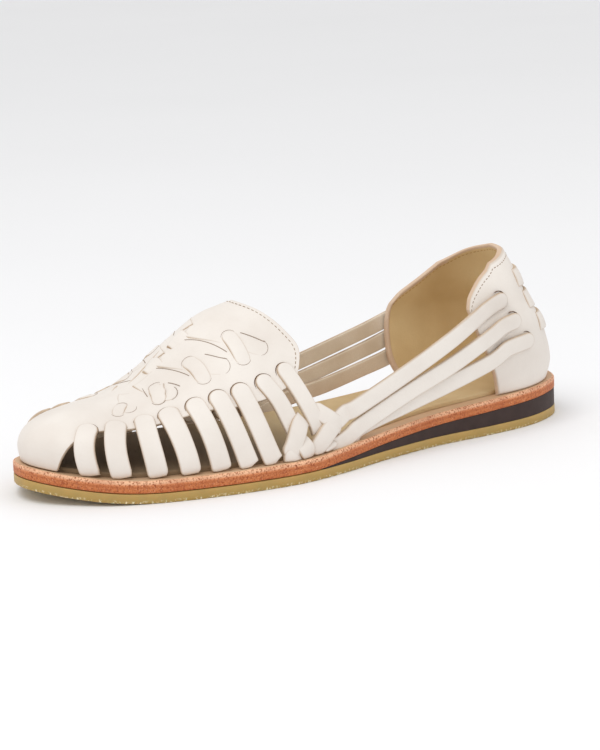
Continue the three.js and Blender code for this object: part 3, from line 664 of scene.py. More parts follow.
def layer_profile(low_round, high_round):
    """Inset, place between bottom and top, and mm added, round one half of a section."""
    turn = np.linspace(0, math.pi / 2, 5)
    cap = np.linspace(0, 1, 7)[:-1]
    zero, one = np.zeros(6), np.ones(6)
    share = np.concatenate([cap, np.ones(14), cap[::-1]])
    inset = np.concatenate([
        low_round + zero, low_round * (1 - np.sin(turn)), np.zeros(4),
        high_round * (1 - np.cos(turn)), high_round + zero])
    middle = np.linspace(0, 1, 6)[1:-1]
    height = np.concatenate([zero, np.zeros(5), middle, np.ones(5), one])
    extra = np.concatenate([
        zero, low_round * (1 - np.cos(turn)), low_round * (1 - middle) - high_round * middle,
        -high_round * (1 - np.sin(turn)), zero])
    return share, inset, height, extra


def sole_layer(start, inset, bottom, top, low_round, high_round, rough=None):
    """A closed layer: half sections on both sides joined into rings, one per station."""
    share, add, height, extra = layer_profile(low_round, high_round)
    count = int((LAST_STATION - start) * SECTION_STEPS) + 1
    station = np.linspace(start, LAST_STATION, count)[:, None]
    rings = []
    for side in (1, -1):
        x, y = inset_edge(side, station, inset + add)
        other_x, other_y = inset_edge(-side, station, inset + add)
        x = (x + other_x) / 2 + (x - other_x) / 2 * share
        y = (y + other_y) / 2 + (y - other_y) / 2 * share
        z = bottom(y) * (1 - height) + top(y) * height + extra
        points = np.stack([x, y, z], -1)
        if rough is not None:
            points = points + rough(side, station, height, share)
        rings.append(points)
    loop = np.concatenate([rings[0], rings[1][:, ::-1]], 1)
    loop = np.concatenate([loop, loop[:, :1]], 1)
    rise = np.broadcast_to(height, rings[0].shape[:2])
    rise = np.concatenate([rise, rise[:, ::-1], rise[:, :1]], 1)
    columns = loop.shape[1]
    index = np.arange(count * columns).reshape(count, columns)
    quads = np.stack([index[:-1, :-1], index[1:, :-1], index[1:, 1:], index[:-1, 1:]], -1).reshape(-1, 4)
    mid_share = np.concatenate([share, share[::-1], share[:1]])
    on_top = (rise.ravel()[quads].mean(1) > 0.999) & (np.tile(
        (mid_share[:-1] + mid_share[1:]) / 2, count - 1) < 0.99)
    points = loop.reshape(-1, 3)
    extra_quads = []
    for row in (index[0], index[-1]):
        half = columns // 2
        extra_quads.append(np.stack([row[:half], row[1:half + 1], row[::-1][1:half + 1], row[::-1][:half]], -1))
    ends = np.concatenate(extra_quads)
    kinds = np.concatenate([np.where(on_top, 1, 0), np.zeros(len(ends), int)])
    return (points, np.concatenate([quads, ends]), kinds, np.zeros(len(points))), rise.ravel()


def ragged_edge(side, station, height, share):
    """Crepe is torn along its lower edge: the edge wanders in and out by waves of many sizes."""
    seam = np.sin(math.pi * station / LAST_STATION) ** 0.3
    wave = sum(np.sin(station * k + side * p) for k, p in ((31.0, 0.4), (53.0, 1.9), (83.0, 3.1), (127.0, 4.4)))
    fine = np.sin(station * 211 + 5 * height) * np.sin(station * 157 + 2)
    depth = (0.05 * wave + 0.12 * fine) * np.clip(1 - 1.6 * height, 0, 1) * (share > 0.99) * seam
    return np.stack([side * depth, 0 * depth, 0.5 * np.abs(depth) * (height < 0.3)], -1)


def level(y):
    """The ground face of the sole."""
    return toe_spring(y)


def wedge_low(y):
    """The wedge stands on the crepe."""
    return outsole_top(y) + 0.05


def wedge_high(y):
    """The wedge carries the midsole."""
    return outsole_top(y) + GAP + heel_lift(y) - 0.05


def midsole_low(y):
    """The midsole's lower face."""
    return outsole_top(y) + GAP + heel_lift(y)


part, rise = sole_layer(0, 0, level, outsole_top, 0.5, 0.35, ragged_edge)
add_piece("crepe_outsole", part, (crepe, crepe), ("outsole",), {"rise": rise})
WEDGE_STATION = 7.42
part, rise = sole_layer(WEDGE_STATION, 0.15, wedge_low, wedge_high, 0.05, 0.05)
add_piece("wedge", part, (wedge_rubber, wedge_rubber), ("heel_wedge",), {"rise": rise})
part, rise = sole_layer(0, 0, midsole_low, midsole_top, 0.4, 0.9)
add_piece("leather_midsole", part, (midsole_edge, midsole_face), ("midsole",), {"rise": rise})

# %% The sock
SOCK_INSET = 6.9
SOCK_THICKNESS = 1.9


def sock_low(y):
    """The sock is glued onto the midsole."""
    return midsole_top(y) + 0.1


def sock_high(y):
    """The foot's side of the sock."""
    return midsole_top(y) + 0.1 + SOCK_THICKNESS


part, rise = sole_layer(0, SOCK_INSET, sock_low, sock_high, 0.1, 0.7)
add_piece("sock", part, (sock, sock), ("insole",), {"rise": rise})

# %% [markdown]
# ## The vamp
# Toe cap, centre and tongue plate are one piece of leather. It runs round the toe from one
# corner of the plate to the other, and from the cut edge up to the ridge, where the two
# halves meet and are merged.

# %% Vamp


def plate_places(around, rise):
    """Side, station and climb of a place on the vamp, with the collar's curve at the ends."""
    side = np.where(around < 0.5, 1, -1)
    plain = np.abs(around - 0.5) * 2 * PLATE_STATION
    edge = np.maximum(smooth_column(VAMP_EDGE, "station", "climb", plain), 0)
    climb = edge + (1 - edge) * rise
    reach = smooth_column(PLATE_EDGE, "climb", "station", climb)
    past = np.maximum(plain - PLATE_START, 0) / (PLATE_STATION - PLATE_START)
    return side, plain + past * (reach - PLATE_STATION), climb


def vamp_sheet(around, rise, proud):
    """The vamp's surface at some height over the last."""
    side, station, climb = plate_places(around, rise)
    return vamp_point(side, station, climb, proud)


CREASES = table("x y turn length width depth", [
    (6.0, -104.0, 20, 16, 2.6, 0.25), (-2.0, -98.0, -15, 18, 2.8, 0.2),
    (-16.0, -100.0, -25, 14, 2.4, 0.22), (15.0, -70.0, 65, 14, 3.0, 0.25),
    (4.0, -30.0, 10, 26, 4.0, 0.3), (-14.0, -32.0, -12, 22, 4.0, 0.25),
])


def crease_depth(points):
    """Soft troughs: each is a bell across its width that fades towards its two ends."""
    x, y = points[..., 0:1], points[..., 1:2]
    turn = np.radians(CREASES["turn"])
    dx, dy = x - CREASES["x"], y - CREASES["y"]
    ahead = dx * np.cos(turn) + dy * np.sin(turn)
    across = -dx * np.sin(turn) + dy * np.cos(turn)
    bell = np.exp(-((across / CREASES["width"]) ** 2) - (2 * ahead / CREASES["length"]) ** 4)
    return np.sum(bell * CREASES["depth"], -1)


around = edge_steps(400, 250)[:, None]
rise = edge_steps(74, 42, True, False)[None, :]
trough = crease_depth(vamp_sheet(around, rise, WALL))
vamp_outer = vamp_sheet(around, rise, WALL - trough)
vamp_inner = vamp_sheet(around, rise, 0.0)
distance = border_distance((vamp_outer + vamp_inner) / 2, ("a0", "a1", "b0"))
add_piece("vamp", wall_part(vamp_outer, vamp_inner, distance), (cream, inside, raw_edge), ("upper",))

# %% [markdown]
# ## Straps
# A strap is a path on the last with a width. Its half width shrinks as a circle does towards
# a rounded end, and the middle is a little crowned, because the leather is pulled tight.

# %% Straps on a surface


def strap_outline(length, width, start, end, radius):
    """Places along the strap, their half widths, and the shares across it."""
    half = width / 2
    round_end = half * (1 - np.cos(np.linspace(0, math.pi / 2, 9)[:-1]))
    cut_end = np.array([0, 0.08, 0.3, 0.62]) * radius
    low = round_end if start == "round" else cut_end
    high = round_end if end == "round" else cut_end
    low_stop = half if start == "round" else radius
    high_stop = half if end == "round" else radius
    count = max(int((length - low_stop - high_stop) / 1.1), 6)
    along = np.concatenate([low, np.linspace(low_stop, length - high_stop, count), length - high[::-1]])
    to_low = np.clip((half - along) / half, 0, 1) if start == "round" else 0 * along
    to_high = np.clip((half - (length - along)) / half, 0, 1) if end == "round" else 0 * along
    widths = half * np.sqrt(np.maximum(1 - np.maximum(to_low, to_high) ** 2, 0))
    edge = 1 - np.array([0, 0.08, 0.3, 0.62, 1.0]) * radius / half
    across = np.concatenate([-edge, np.linspace(-edge[-1], edge[-1], 9)[1:-1], edge[::-1]])
    return along, widths, across


def outline_distance(along, widths, across, length, width, start, end):
    """How far a place on the strap is from its outline."""
    half = width / 2
    side = widths[:, None] * (1 - np.abs(across))
    for at, kind in ((along, start), (length - along, end)):
        if kind == "round":
            centre = half - np.hypot(np.maximum(half - at, 0)[:, None], across * widths[:, None])
            side = np.where(at[:, None] < half, np.minimum(side + 1e3, np.maximum(centre, 0)), side)
        else:
            side = np.minimum(side, at[:, None])
    return side


def surface_strap(surface, rows, width, start="round", end="cut", wall=WALL, crown=0.12,
                  radius=SOFT_EDGE, hem=0.0, tilt=0.0):
    """A strap along rows of (a, b, lift) on a surface; tilt raises one edge over the other."""
    rows = np.array(rows, float)
    path = {"t": np.linspace(0, 1, len(rows)), "a": rows[:, 0], "b": rows[:, 1], "lift": rows[:, 2]}
    fine = np.linspace(0, 1, 160)
    a, b, lift = (smooth_column(path, "t", key, fine) for key in ("a", "b", "lift"))
    line = surface(a, b, lift)
    walk = np.concatenate([[0], np.cumsum(np.linalg.norm(np.diff(line, axis=0), axis=1))])
    along, widths, across = strap_outline(walk[-1], width, start, end, radius)
    a, b, lift = (np.interp(along, walk, key) for key in (a, b, lift))
    forward, up, _, _ = local_frame(surface, a, b)
    direction = unit(np.stack([np.interp(along, walk, np.gradient(line[:, k], walk)) for k in range(3)], -1))
    run, climb = np.sum(direction * forward, -1), np.sum(direction * up, -1)
    offset = across * widths[:, None]
    ahead, rise = -offset * climb[:, None], offset * run[:, None]
    bow = (crown * (1 - across**2) + tilt * across) * (widths / widths.max())[:, None]
    a, b, lift = a[:, None], b[:, None], lift[:, None]
    outer = near(surface, a, b, ahead, rise, lift + wall + bow)
    inner = near(surface, a, b, ahead, rise, lift + hem * (1 - across**2))
    distance = outline_distance(along, widths, across, walk[-1], width, start, end)
    return wall_part(outer, inner, distance, radius)


# %% Side straps
SIDE_STRAPS = table("top_station top_climb low_station", [
    (2.2, 0.535, 2.46), (2.92, 0.588, 3.2), (3.73, 0.61, 3.96), (4.48, 0.6, 4.68),
    (5.13, 0.563, 5.33), (5.61, 0.544, 5.92), (6.07, 0.531, 6.44),
])
BASE_TUCK = -0.5


def side_strap_rows(top_station, top_climb, low_station):
    """From its slot a strap bows out over the foot and tucks in where it meets the sole."""
    share = np.array([0, 0.12, 0.3, 0.6, 0.85, 0.94, 1.0])
    lift = np.array([0.75, 1.15, 1.05, 0.7, 0.65, 0.45, BASE_TUCK])
    station = top_station + (low_station - top_station) * share
    return np.stack([station, top_climb * (1 - share), lift], -1)


for side, name in ((1, "lateral"), (-1, "medial")):
    parts = [surface_strap(vamp_side(side), side_strap_rows(*row), STRAP_WIDTH)
             for row in np.stack(list(SIDE_STRAPS.values()), -1)]
    add_piece(f"side_straps_{name}", join_parts(parts), LEATHER)

# %% [markdown]
# At the waist two of these straps are braided with the three long ones: each goes over one
# and under the next. The lift column says how high over the last the strap runs.

# %% Braided straps
BRAID_WIDTH = 7.6
BRAID_ROWS = {
    "eighth": [(6.55, 0.525, 0.75), (6.62, 0.49, 1.1), (6.8, 0.4, 0.8), (6.93, 0.29, 0.3), (7.03, 0.2, -0.3)],
    "eighth_low": [(7.0, 0.22, 0.0), (7.12, 0.13, 1.7), (7.2, 0.05, 1.0), (7.22, 0.0, 0.1)],
    "ninth": [(7.09, 0.543, 0.75), (7.14, 0.51, 1.1), (7.3, 0.4, 1.2), (7.42, 0.3, 1.5), (7.49, 0.24, 1.0),
              (7.54, 0.19, -0.2)],
    "ninth_low": [(7.66, 0.12, 0.0), (7.71, 0.06, 1.5), (7.73, 0.0, 0.2)],
    "tenth": [(7.45, 0.33, 0.2), (7.6, 0.285, 1.3), (7.8, 0.23, 1.8), (8.05, 0.17, 0.6)],
    "top_over": [(6.68, 0.06, 0.0), (6.85, 0.16, 1.3), (6.97, 0.225, 1.9), (7.1, 0.27, 1.4), (7.25, 0.29, 0.1)],
    "middle_low": [(6.62, 0.0, 0.0), (6.8, 0.06, 1.1), (6.98, 0.09, 0.2)],
    "middle_over": [(7.3, 0.06, 0.1), (7.48, 0.12, 1.5), (7.64, 0.165, 2.1), (7.82, 0.19, 1.7), (7.98, 0.2, 0.6)],
}
for side, name in ((1, "lateral"), (-1, "medial")):
    parts = [surface_strap(vamp_side(side), rows, BRAID_WIDTH, crown=0.3) for rows in BRAID_ROWS.values()]
    add_piece(f"braid_straps_{name}", join_parts(parts), LEATHER)

# %% [markdown]
# The long straps start under the braid, cross open air and end in slots on the heel cup. In
# the air there is no surface to follow, so they are swept: a path of points, each with the
# direction that faces away from the foot.

# %% Long straps
LONG_STRAPS = {
    "top": dict(
        vamp=[(7.8, 0.19, 0.2), (8.0, 0.207, 0.9), (8.2, 0.226, 1.1)],
        lateral=dict(free=[(0.012, 0.397, 24.5), (0.114, 0.382, 34.5), (0.204, 0.368, 44.3)],
                     cup=[(2.7, 50.6), (2.1, 53.4), (1.4, 56.0), (0.97, 57.3)]),
        medial=dict(free=[(0.012, 0.335, 26.5), (0.114, 0.323, 33.5), (0.204, 0.335, 39.0)],
                    cup=[(3.3, 41.8), (2.4, 44.6), (1.5, 48.4), (1.05, 50.0)])),
    "middle": dict(
        vamp=[(7.78, 0.04, 0.2), (7.97, 0.055, 0.8), (8.2, 0.08, 0.9)],
        lateral=dict(free=[(0.02, 0.397, 16.8), (0.116, 0.382, 26.3), (0.204, 0.367, 33.8)],
                     cup=[(2.54, 40.4), (1.9, 43.6), (1.3, 46.6), (0.89, 48.2)]),
        medial=dict(free=[(0.02, 0.335, 18.8), (0.116, 0.323, 25.6), (0.204, 0.335, 30.8)],
                    cup=[(3.35, 33.6), (2.4, 36.4), (1.45, 40.0), (0.97, 41.6)])),
    "low": dict(
        vamp=[(7.9, 0.0, 0.1), (8.05, 0.01, 0.3), (8.25, 0.025, 0.5)],
        lateral=dict(free=[(0.02, 0.38, 15.4), (0.116, 0.37, 21.3), (0.204, 0.357, 26.3)],
                     cup=[(2.15, 31.4), (1.6, 34.0), (1.15, 36.6), (0.78, 38.6)]),
        medial=dict(free=[(0.04, 0.32, 15.4), (0.116, 0.31, 18.6), (0.204, 0.325, 23.0)],
                    cup=[(3.3, 25.6), (2.4, 28.2), (1.4, 31.6), (0.88, 33.2)])),
}


def long_strap_rows(side, strap):
    """Points and outward directions along a long strap, from the vamp to the cup."""
    vamp = np.array(strap["vamp"])
    forward, up, _, _ = local_frame(vamp_side(side), vamp[:, 0], vamp[:, 1])
    on_vamp = vamp_point(side, vamp[:, 0], vamp[:, 1], vamp[:, 2])
    vamp_out = unit(np.cross(forward, up)) * side
    own = strap["lateral" if side > 0 else "medial"]
    free = np.array(own["free"])
    in_air = np.stack([side * free[:, 1] * BALL_WIDTH, free[:, 0] * SHOE_LENGTH, free[:, 2]], -1)
    air_out = np.broadcast_to(unit(np.array([side, 0, 0.12])), in_air.shape)
    cup = np.array(own["cup"])
    up_share = cup[:, 1] / HEEL_CUP_HEIGHT
    on_cup = cup_point(side * cup[:, 0], up_share, CUP_CLEARANCE)
    cup_out = unit(cup_point(side * cup[:, 0], up_share, CUP_CLEARANCE + 1) - on_cup)
    return np.concatenate([on_vamp, in_air, on_cup]), np.concatenate([vamp_out, air_out, cup_out])


def smooth_run(points, outs, count):
    """A curve through points, timed by the distance between them."""
    walk = np.concatenate([[0], np.cumsum(np.linalg.norm(np.diff(points, axis=0), axis=1) ** 0.5)])
    rows = {"t": walk, **{f"p{k}": points[:, k] for k in range(3)}, **{f"o{k}": outs[:, k] for k in range(3)}}
    at = np.linspace(0, walk[-1], count)
    centres = np.stack([smooth_column(rows, "t", f"p{k}", at) for k in range(3)], -1)
    ways = np.stack([smooth_column(rows, "t", f"o{k}", at) for k in range(3)], -1)
    return centres, unit(ways)


def swept_strap(points, outs, width, start="cut", end="round", wall=WALL, crown=0.1, radius=SOFT_EDGE):
    """A strap carried along a path: across is square to the run and to the way out."""
    centres, ways = smooth_run(points, outs, 240)
    walk = np.concatenate([[0], np.cumsum(np.linalg.norm(np.diff(centres, axis=0), axis=1))])
    along, widths, across = strap_outline(walk[-1], width, start, end, radius)
    centre = np.stack([np.interp(along, walk, centres[:, k]) for k in range(3)], -1)
    way = np.stack([np.interp(along, walk, ways[:, k]) for k in range(3)], -1)
    run = unit(np.gradient(centre, along, axis=0))
    way = unit(way - np.sum(way * run, -1, keepdims=True) * run)
    side = unit(np.cross(way, run))[:, None, :]
    flat = centre[:, None, :] + side * (across * widths[:, None])[..., None]
    bow = (wall + crown * (1 - across**2) * (widths / widths.max())[:, None])[..., None]
    distance = outline_distance(along, widths, across, walk[-1], width, start, end)
    return wall_part(flat + way[:, None, :] * bow, flat, distance, radius)


for side, name in ((1, "lateral"), (-1, "medial")):
    parts = [swept_strap(*long_strap_rows(side, strap), LONG_STRAP_WIDTH) for strap in LONG_STRAPS.values()]
    add_piece(f"long_straps_{name}", join_parts(parts), LEATHER)

# %% [markdown]
# ## The woven centre
# Down each side of the ridge the leather is slotted. Slanting straps come over the ridge,
# run down and back, pass under an upright one and end in a rounded slot.

# %% Centre weave
UPRIGHTS = [
    dict(rows=[(6.38, 0.785, 0.3), (6.4, 0.69, 1.0), (6.41, 0.59, 0.2)], width=6.6),
    dict(rows=[(5.5, 0.815, 0.3), (5.56, 0.71, 1.0), (5.56, 0.6, 0.2)], width=6.6),
    dict(rows=[(4.8, 0.84, 0.3), (4.68, 0.76, 0.9), (4.42, 0.65, 0.2)], width=5.8),
    dict(rows=[(2.75, 0.79, 0.3), (2.75, 0.72, 0.8), (2.85, 0.64, 0.2)], width=5.0),
]
# Places of the thin painted shadow lines along the slanting straps.
FRONT_EDGES = [
    [(5.67, 0.985), (5.94, 0.83), (6.19, 0.685)],
    [(5.04, 0.985), (5.2, 0.84), (5.37, 0.7)],
    [(4.0, 0.955), (4.05, 0.86), (4.13, 0.763)],
]
REAR_EDGES = [
    [(6.62, 0.74), (6.86, 0.685), (6.99, 0.655)],
    [(5.83, 0.75), (6.0, 0.69), (6.13, 0.655)],
    [(5.0, 0.76), (5.08, 0.71), (5.12, 0.68)],
]
RIDGE_STRAPS = table("y width spread lift", [
    (-54.2, 9.5, 0.085, 1.0), (-66.5, 8.5, 0.085, 1.0),
])
SLANTS = [
    dict(rows=[(5.93, 0.985, 0.9), (6.1, 0.86, 0.5), (6.45, 0.72, 0.2), (6.72, 0.66, 0.3), (6.98, 0.62, 0.2)], width=8.6),
    dict(rows=[(5.25, 0.985, 0.9), (5.38, 0.86, 0.5), (5.62, 0.72, 0.2), (5.86, 0.66, 0.3), (6.12, 0.62, 0.2)], width=8.4),
    dict(rows=[(4.5, 0.955, 0.8), (4.6, 0.87, 0.5), (4.7, 0.77, 0.2), (4.82, 0.7, 0.3), (5.0, 0.65, 0.2)], width=7.4),
    dict(rows=[(2.3, 0.9, 0.7), (2.75, 0.83, 0.4), (3.05, 0.75, 0.2), (3.2, 0.71, 0.3), (3.4, 0.67, 0.2)], width=6.4),
]


def weave_parts(side):
    """Uprights and slanting straps of one side, lying over the vamp's outer face."""
    surface = vamp_side(side)
    over = np.array([0, 0, WALL - 1.55])
    uprights = [surface_strap(surface, np.array(item["rows"]) + over, item["width"], "round", "round", 1.2, 0.1, 0.4)
                for item in UPRIGHTS]
    slants = [surface_strap(surface, np.array(item["rows"]) + over, item["width"], "cut", "round", 1.0, 0.05, 0.4,
                            tilt=-0.3 * side)
              for item in SLANTS]
    return uprights, slants


RIDGE_SINK = 2.0


def ridge_part(y, width, spread, lift):
    """A short strap over the ridge: it leaves one side, arches and dips under the other."""
    stations = np.linspace(0.5, 8, 400)
    station = float(np.interp(y, sole_edge(1, stations)[1], stations))
    share = np.array([-1, -0.6, 0, 0.6, 1])
    rise = WALL - RIDGE_SINK + (lift + RIDGE_SINK - 0.9) * (1 - share**2)
    rows = np.stack([station + 0 * share, 1 + spread * share, rise], -1)
    return surface_strap(vamp_side(1), rows, width, "cut", "cut", 1.1, 0.1, 0.35)


ridge_straps = [ridge_part(*row) for row in np.stack(list(RIDGE_STRAPS.values()), -1)]
add_piece("weave_ridge", join_parts(ridge_straps), LEATHER)

for side, name in ((1, "lateral"), (-1, "medial")):
    uprights, slants = weave_parts(side)
    add_piece(f"weave_uprights_{name}", join_parts(uprights), LEATHER)
    add_piece(f"weave_slants_{name}", join_parts(slants), LEATHER)

# %% [markdown]
# ## The heel cup
# One moulded wall goes round the heel from wing to wing. Outside it is cream, inside it has a
# tan lining, and the collar is bound with a narrow strip that folds to the inside.

# %% Heel cup
BINDING = 2.3


def cup_places(around, rise):
    """Turn and height of a place on the cup's wall."""
    share = around * 2 - 1
    reach = np.abs(share)
    lateral = share > 0
    top = np.where(lateral, smooth_column(COLLAR, "round", "lateral", reach),
                   smooth_column(COLLAR, "round", "medial", reach)) * HEEL_CUP_HEIGHT

    def front(height):
        up = height / HEEL_CUP_HEIGHT
        return np.where(lateral, smooth_column(CUP, "up", "front_lateral", up),
                        smooth_column(CUP, "up", "front_medial", up))

    foot_y = cup_point(share * front(np.full_like(share, 16.0)), 16.0 / HEEL_CUP_HEIGHT, 0)[..., 1]
    foot = midsole_top(foot_y) + 0.05
    height = foot + (top - foot) * rise
    return share * front(height), height / HEEL_CUP_HEIGHT


def cup_sheet(around, rise, proud):
    """The cup's surface at some distance outside its own shape."""
    around, rise = np.broadcast_arrays(around, rise)
    turn, up = cup_places(around, rise)
    return cup_point(turn, up, proud)


around = edge_steps(220, 150)[:, None]
rise = edge_steps(56, 48)[None, :]
cup_outer = cup_sheet(around, rise, 0.0)
cup_inner = cup_sheet(around, rise, -COUNTER_WALL)
distance = border_distance((cup_outer + cup_inner) / 2, ("a0", "a1", "b0", "b1"))
collar_distance = border_distance((cup_outer + cup_inner) / 2, ("a0", "a1", "b1"))
cup_inner = cup_sheet(around, rise, -COUNTER_WALL - 0.25 * (np.clip((BINDING + 0.1 - collar_distance) / 0.3, 0, 1)))
part = wall_part(cup_outer, cup_inner, distance, 0.9)
points, quads, kinds, wear = part
half = len(kinds) // 2
near_collar = collar_distance.ravel()[quads[:half]].mean(1)
kinds[half:] = np.where(near_collar < BINDING, 2, 1)
kinds[:half] = np.where(near_collar < 0.3, 2, 0)
add_piece("heel_cup", part, (cream, lining, binding), ("heel_counter",))

# %% Heel bands
HEEL_BANDS = {"heel_band_top": (63.5, 0.64), "heel_band_middle": (54.0, 0.6), "heel_band_low": (44.0, 0.56)}
BAND_HEIGHT = 8.4
for node, (height, reach) in HEEL_BANDS.items():
    share = np.array([0, 0.08, 0.2, 0.5, 0.8, 0.92, 1])
    turn = -reach + 2 * reach * share
    lift = np.array([-1.25, -0.55, -0.15, 0.0, -0.15, -0.55, -1.25])
    rows = np.stack([turn, np.full(7, height / HEEL_CUP_HEIGHT), lift], -1)
    band = surface_strap(cup_side(1), rows, BAND_HEIGHT, "cut", "cut", 1.4, 0.35)
    add_piece(node.replace("heel_band", "back_band"), band, LEATHER, (node,))

# %% [markdown]
# ## Slots and stitches
# The shade in a slot round the end of its strap is painted as a thin dark line: a narrow
# sliver that lies on the leather and tapers to nothing at both ends.

# %% Slots


EDGE_LINE = 0.34


def slot_shadow_sliver(surface, a, b, radius, heading, width=0.7, spread=105, proud=WALL, thick=0.5):
    """A dark sliver of painted shadow on an arc round the place (a, b); heading turns its middle, in degrees."""
    turn = np.radians(np.linspace(-spread, spread, 37))[:, None]
    across = np.linspace(-1, 1, 5)[None, :]
    taper = width / 2 * np.maximum(np.cos(turn * 90 / spread), 0) ** 0.6
    arc = radius + across * taper
    angle = turn + math.radians(heading)
    ahead, rise = arc * np.sin(angle), arc * np.cos(angle)
    a, b = np.array([[a]]), np.array([[b]])
    outer = near(surface, a, b, ahead, rise, proud + 0.12)
    inner = near(surface, a, b, ahead, rise, proud + 0.12 - thick)
    distance = np.minimum(taper * (1 - np.abs(across)), 1e3 + 0 * arc)
    distance = np.where(taper < 1e-6, 0, distance)
    return wall_part(outer, inner, distance, 0.12)


def end_heading(surface, first, second):
    """The compass direction, on the surface, from the second place to the first."""
    forward, up, _, _ = local_frame(surface, np.array(second[0]), np.array(second[1]))
    way = surface(first[0], first[1], 0.0) - surface(second[0], second[1], 0.0)
    return math.degrees(math.atan2(float(np.sum(way * forward)), float(np.sum(way * up))))


def centre_of_end(surface, first, second, radius):
    """The centre of a strap's rounded end, one radius back from its tip."""
    tip = surface(first[0], first[1], 0.0)
    share = radius / np.linalg.norm(surface(second[0], second[1], 0.0) - tip)
    return first[0] + share * (second[0] - first[0]), first[1] + share * (second[1] - first[1])


def vamp_slot_shadows(side):
    """Painted shadow in the slot at the top of each side strap and each braided strap."""
    surface = vamp_side(side)
    rows = [side_strap_rows(*row)[[0, 2]] for row in np.stack(list(SIDE_STRAPS.values()), -1)]
    rows += [np.array(BRAID_ROWS[row])[[0, 2]] for row in ("eighth", "ninth")]
    parts = []
    for top, below in rows:
        a, b = centre_of_end(surface, top, below, STRAP_WIDTH / 2)
        parts.append(slot_shadow_sliver(surface, a, b, STRAP_WIDTH / 2 + 0.2, end_heading(surface, top, below), 0.6, 84))
    return parts


def weave_shadows(side):
    """Painted shadow at both ends of the uprights and at the rounded ends of the slanting straps, and thin painted
    shadow lines along the slanting straps.
    """
    surface = vamp_side(side)
    parts = []
    for item in UPRIGHTS:
        rows = np.array(item["rows"])
        for first, second in ((rows[0], rows[1]), (rows[-1], rows[-2])):
            a, b = centre_of_end(surface, first, second, item["width"] / 2)
            parts.append(slot_shadow_sliver(surface, a, b, item["width"] / 2 + 0.1, end_heading(surface, first, second), 0.3, 70))
    # Thin lines of painted shadow along the slanting straps.
    for line in FRONT_EDGES + REAR_EDGES:
        rows = [(station, climb, WALL - 0.1) for station, climb in line]
        parts.append(surface_strap(surface, rows, EDGE_LINE, "round", "round", 0.28, 0.0, 0.12))
    for item in SLANTS:
        first, second = item["rows"][-1], item["rows"][-2]
        a, b = centre_of_end(surface, first, second, item["width"] / 2)
        parts.append(slot_shadow_sliver(surface, a, b, item["width"] / 2 + 0.05, end_heading(surface, first, second), 0.3, 62))
    return parts


CUP_SLOT_SPREAD = 105


def cup_slot_shadows(side):
    """Painted shadow in the slots round the ends of the long straps: dark slivers on arcs square to the cup's wall."""
    parts = []
    for strap in LONG_STRAPS.values():
        centres, ways = smooth_run(*long_strap_rows(side, strap), 240)
        run = unit(centres[-1] - centres[-4])
        across = unit(np.cross(ways[-1], run))
        middle = centres[-1] - run * LONG_STRAP_WIDTH / 2
        turn = np.radians(np.linspace(-CUP_SLOT_SPREAD, CUP_SLOT_SPREAD, 41))[:, None]
        taper = 0.3 * np.maximum(np.cos(turn * 90 / CUP_SLOT_SPREAD), 0) ** 0.5
        share = np.linspace(-1, 1, 5)[None, :]
        arc = (LONG_STRAP_WIDTH / 2 + 0.35 + share * taper)[..., None]
        ring = middle + run * arc * np.cos(turn)[..., None] + across * arc * np.sin(turn)[..., None]
        distance = np.where(taper < 1e-6, 0, taper * (1 - np.abs(share)))
        parts.append(wall_part(ring + ways[-1] * (0.5 - CUP_CLEARANCE), ring - ways[-1] * (CUP_CLEARANCE + 0.6),
                               distance, 0.12))
    return parts


# Both pieces are painted shadow: dark slivers at slots and thin lines in the weave.
for side, name in ((1, "lateral"), (-1, "medial")):
    parts = vamp_slot_shadows(side) + cup_slot_shadows(side)
    add_piece(f"slot_shadows_{name}", join_parts(parts), (slot_dark, slot_dark, slot_dark))
    add_piece(f"weave_shadow_lines_{name}", join_parts(weave_shadows(side)), (seam, seam, seam))

# %% [markdown]
# Stitches are short spindles laid end to end along a line: one spindle is worked out once and
# copied to every place with its own direction.

# %% Stitches


def spindle():
    """A stitch one unit long and one thick: rings whose radius is that of an ellipse."""
    along = np.array([-1, -0.85, -0.4, 0.4, 0.85, 1])[:, None]
    turn = np.linspace(0, 2 * math.pi, 7)[None, :]
    radius = np.sqrt(1 - along**2)
    return np.stack([along + 0 * turn, radius * np.cos(turn), radius * np.sin(turn)], -1) / 2


def stitch_part(line, outs, pitch, length, thick, sink=0.1):
    """Stitches at even steps along a line, each turned to run with it."""
    walk = np.concatenate([[0], np.cumsum(np.linalg.norm(np.diff(line, axis=0), axis=1))])
    at = np.arange(pitch / 2, walk[-1], pitch)
    centre = np.stack([np.interp(at, walk, line[:, k]) for k in range(3)], -1)
    out = unit(np.stack([np.interp(at, walk, outs[:, k]) for k in range(3)], -1))
    ahead = np.stack([np.interp(at + 0.3, walk, line[:, k]) for k in range(3)], -1)
    behind = np.stack([np.interp(at - 0.3, walk, line[:, k]) for k in range(3)], -1)
    run = unit(ahead - behind)
    out = unit(out - np.sum(out * run, -1, keepdims=True) * run)
    side = np.cross(out, run)
    shape = spindle()
    grid = (centre - sink * out)[:, None, None] + (
        shape[None, ..., 0:1] * length * run[:, None, None]
        + shape[None, ..., 1:2] * thick * side[:, None, None]
        + shape[None, ..., 2:3] * thick * out[:, None, None])
    count, rings, turns = grid.shape[:3]
    index = np.arange(count * rings * turns).reshape(count, rings, turns)
    quads = np.stack([index[:, :-1, :-1], index[:, 1:, :-1], index[:, 1:, 1:], index[:, :-1, 1:]], -1)
    quads = quads.reshape(-1, 4)
    return grid.reshape(-1, 3), quads, np.zeros(len(quads), int), np.zeros(grid[..., 0].size)


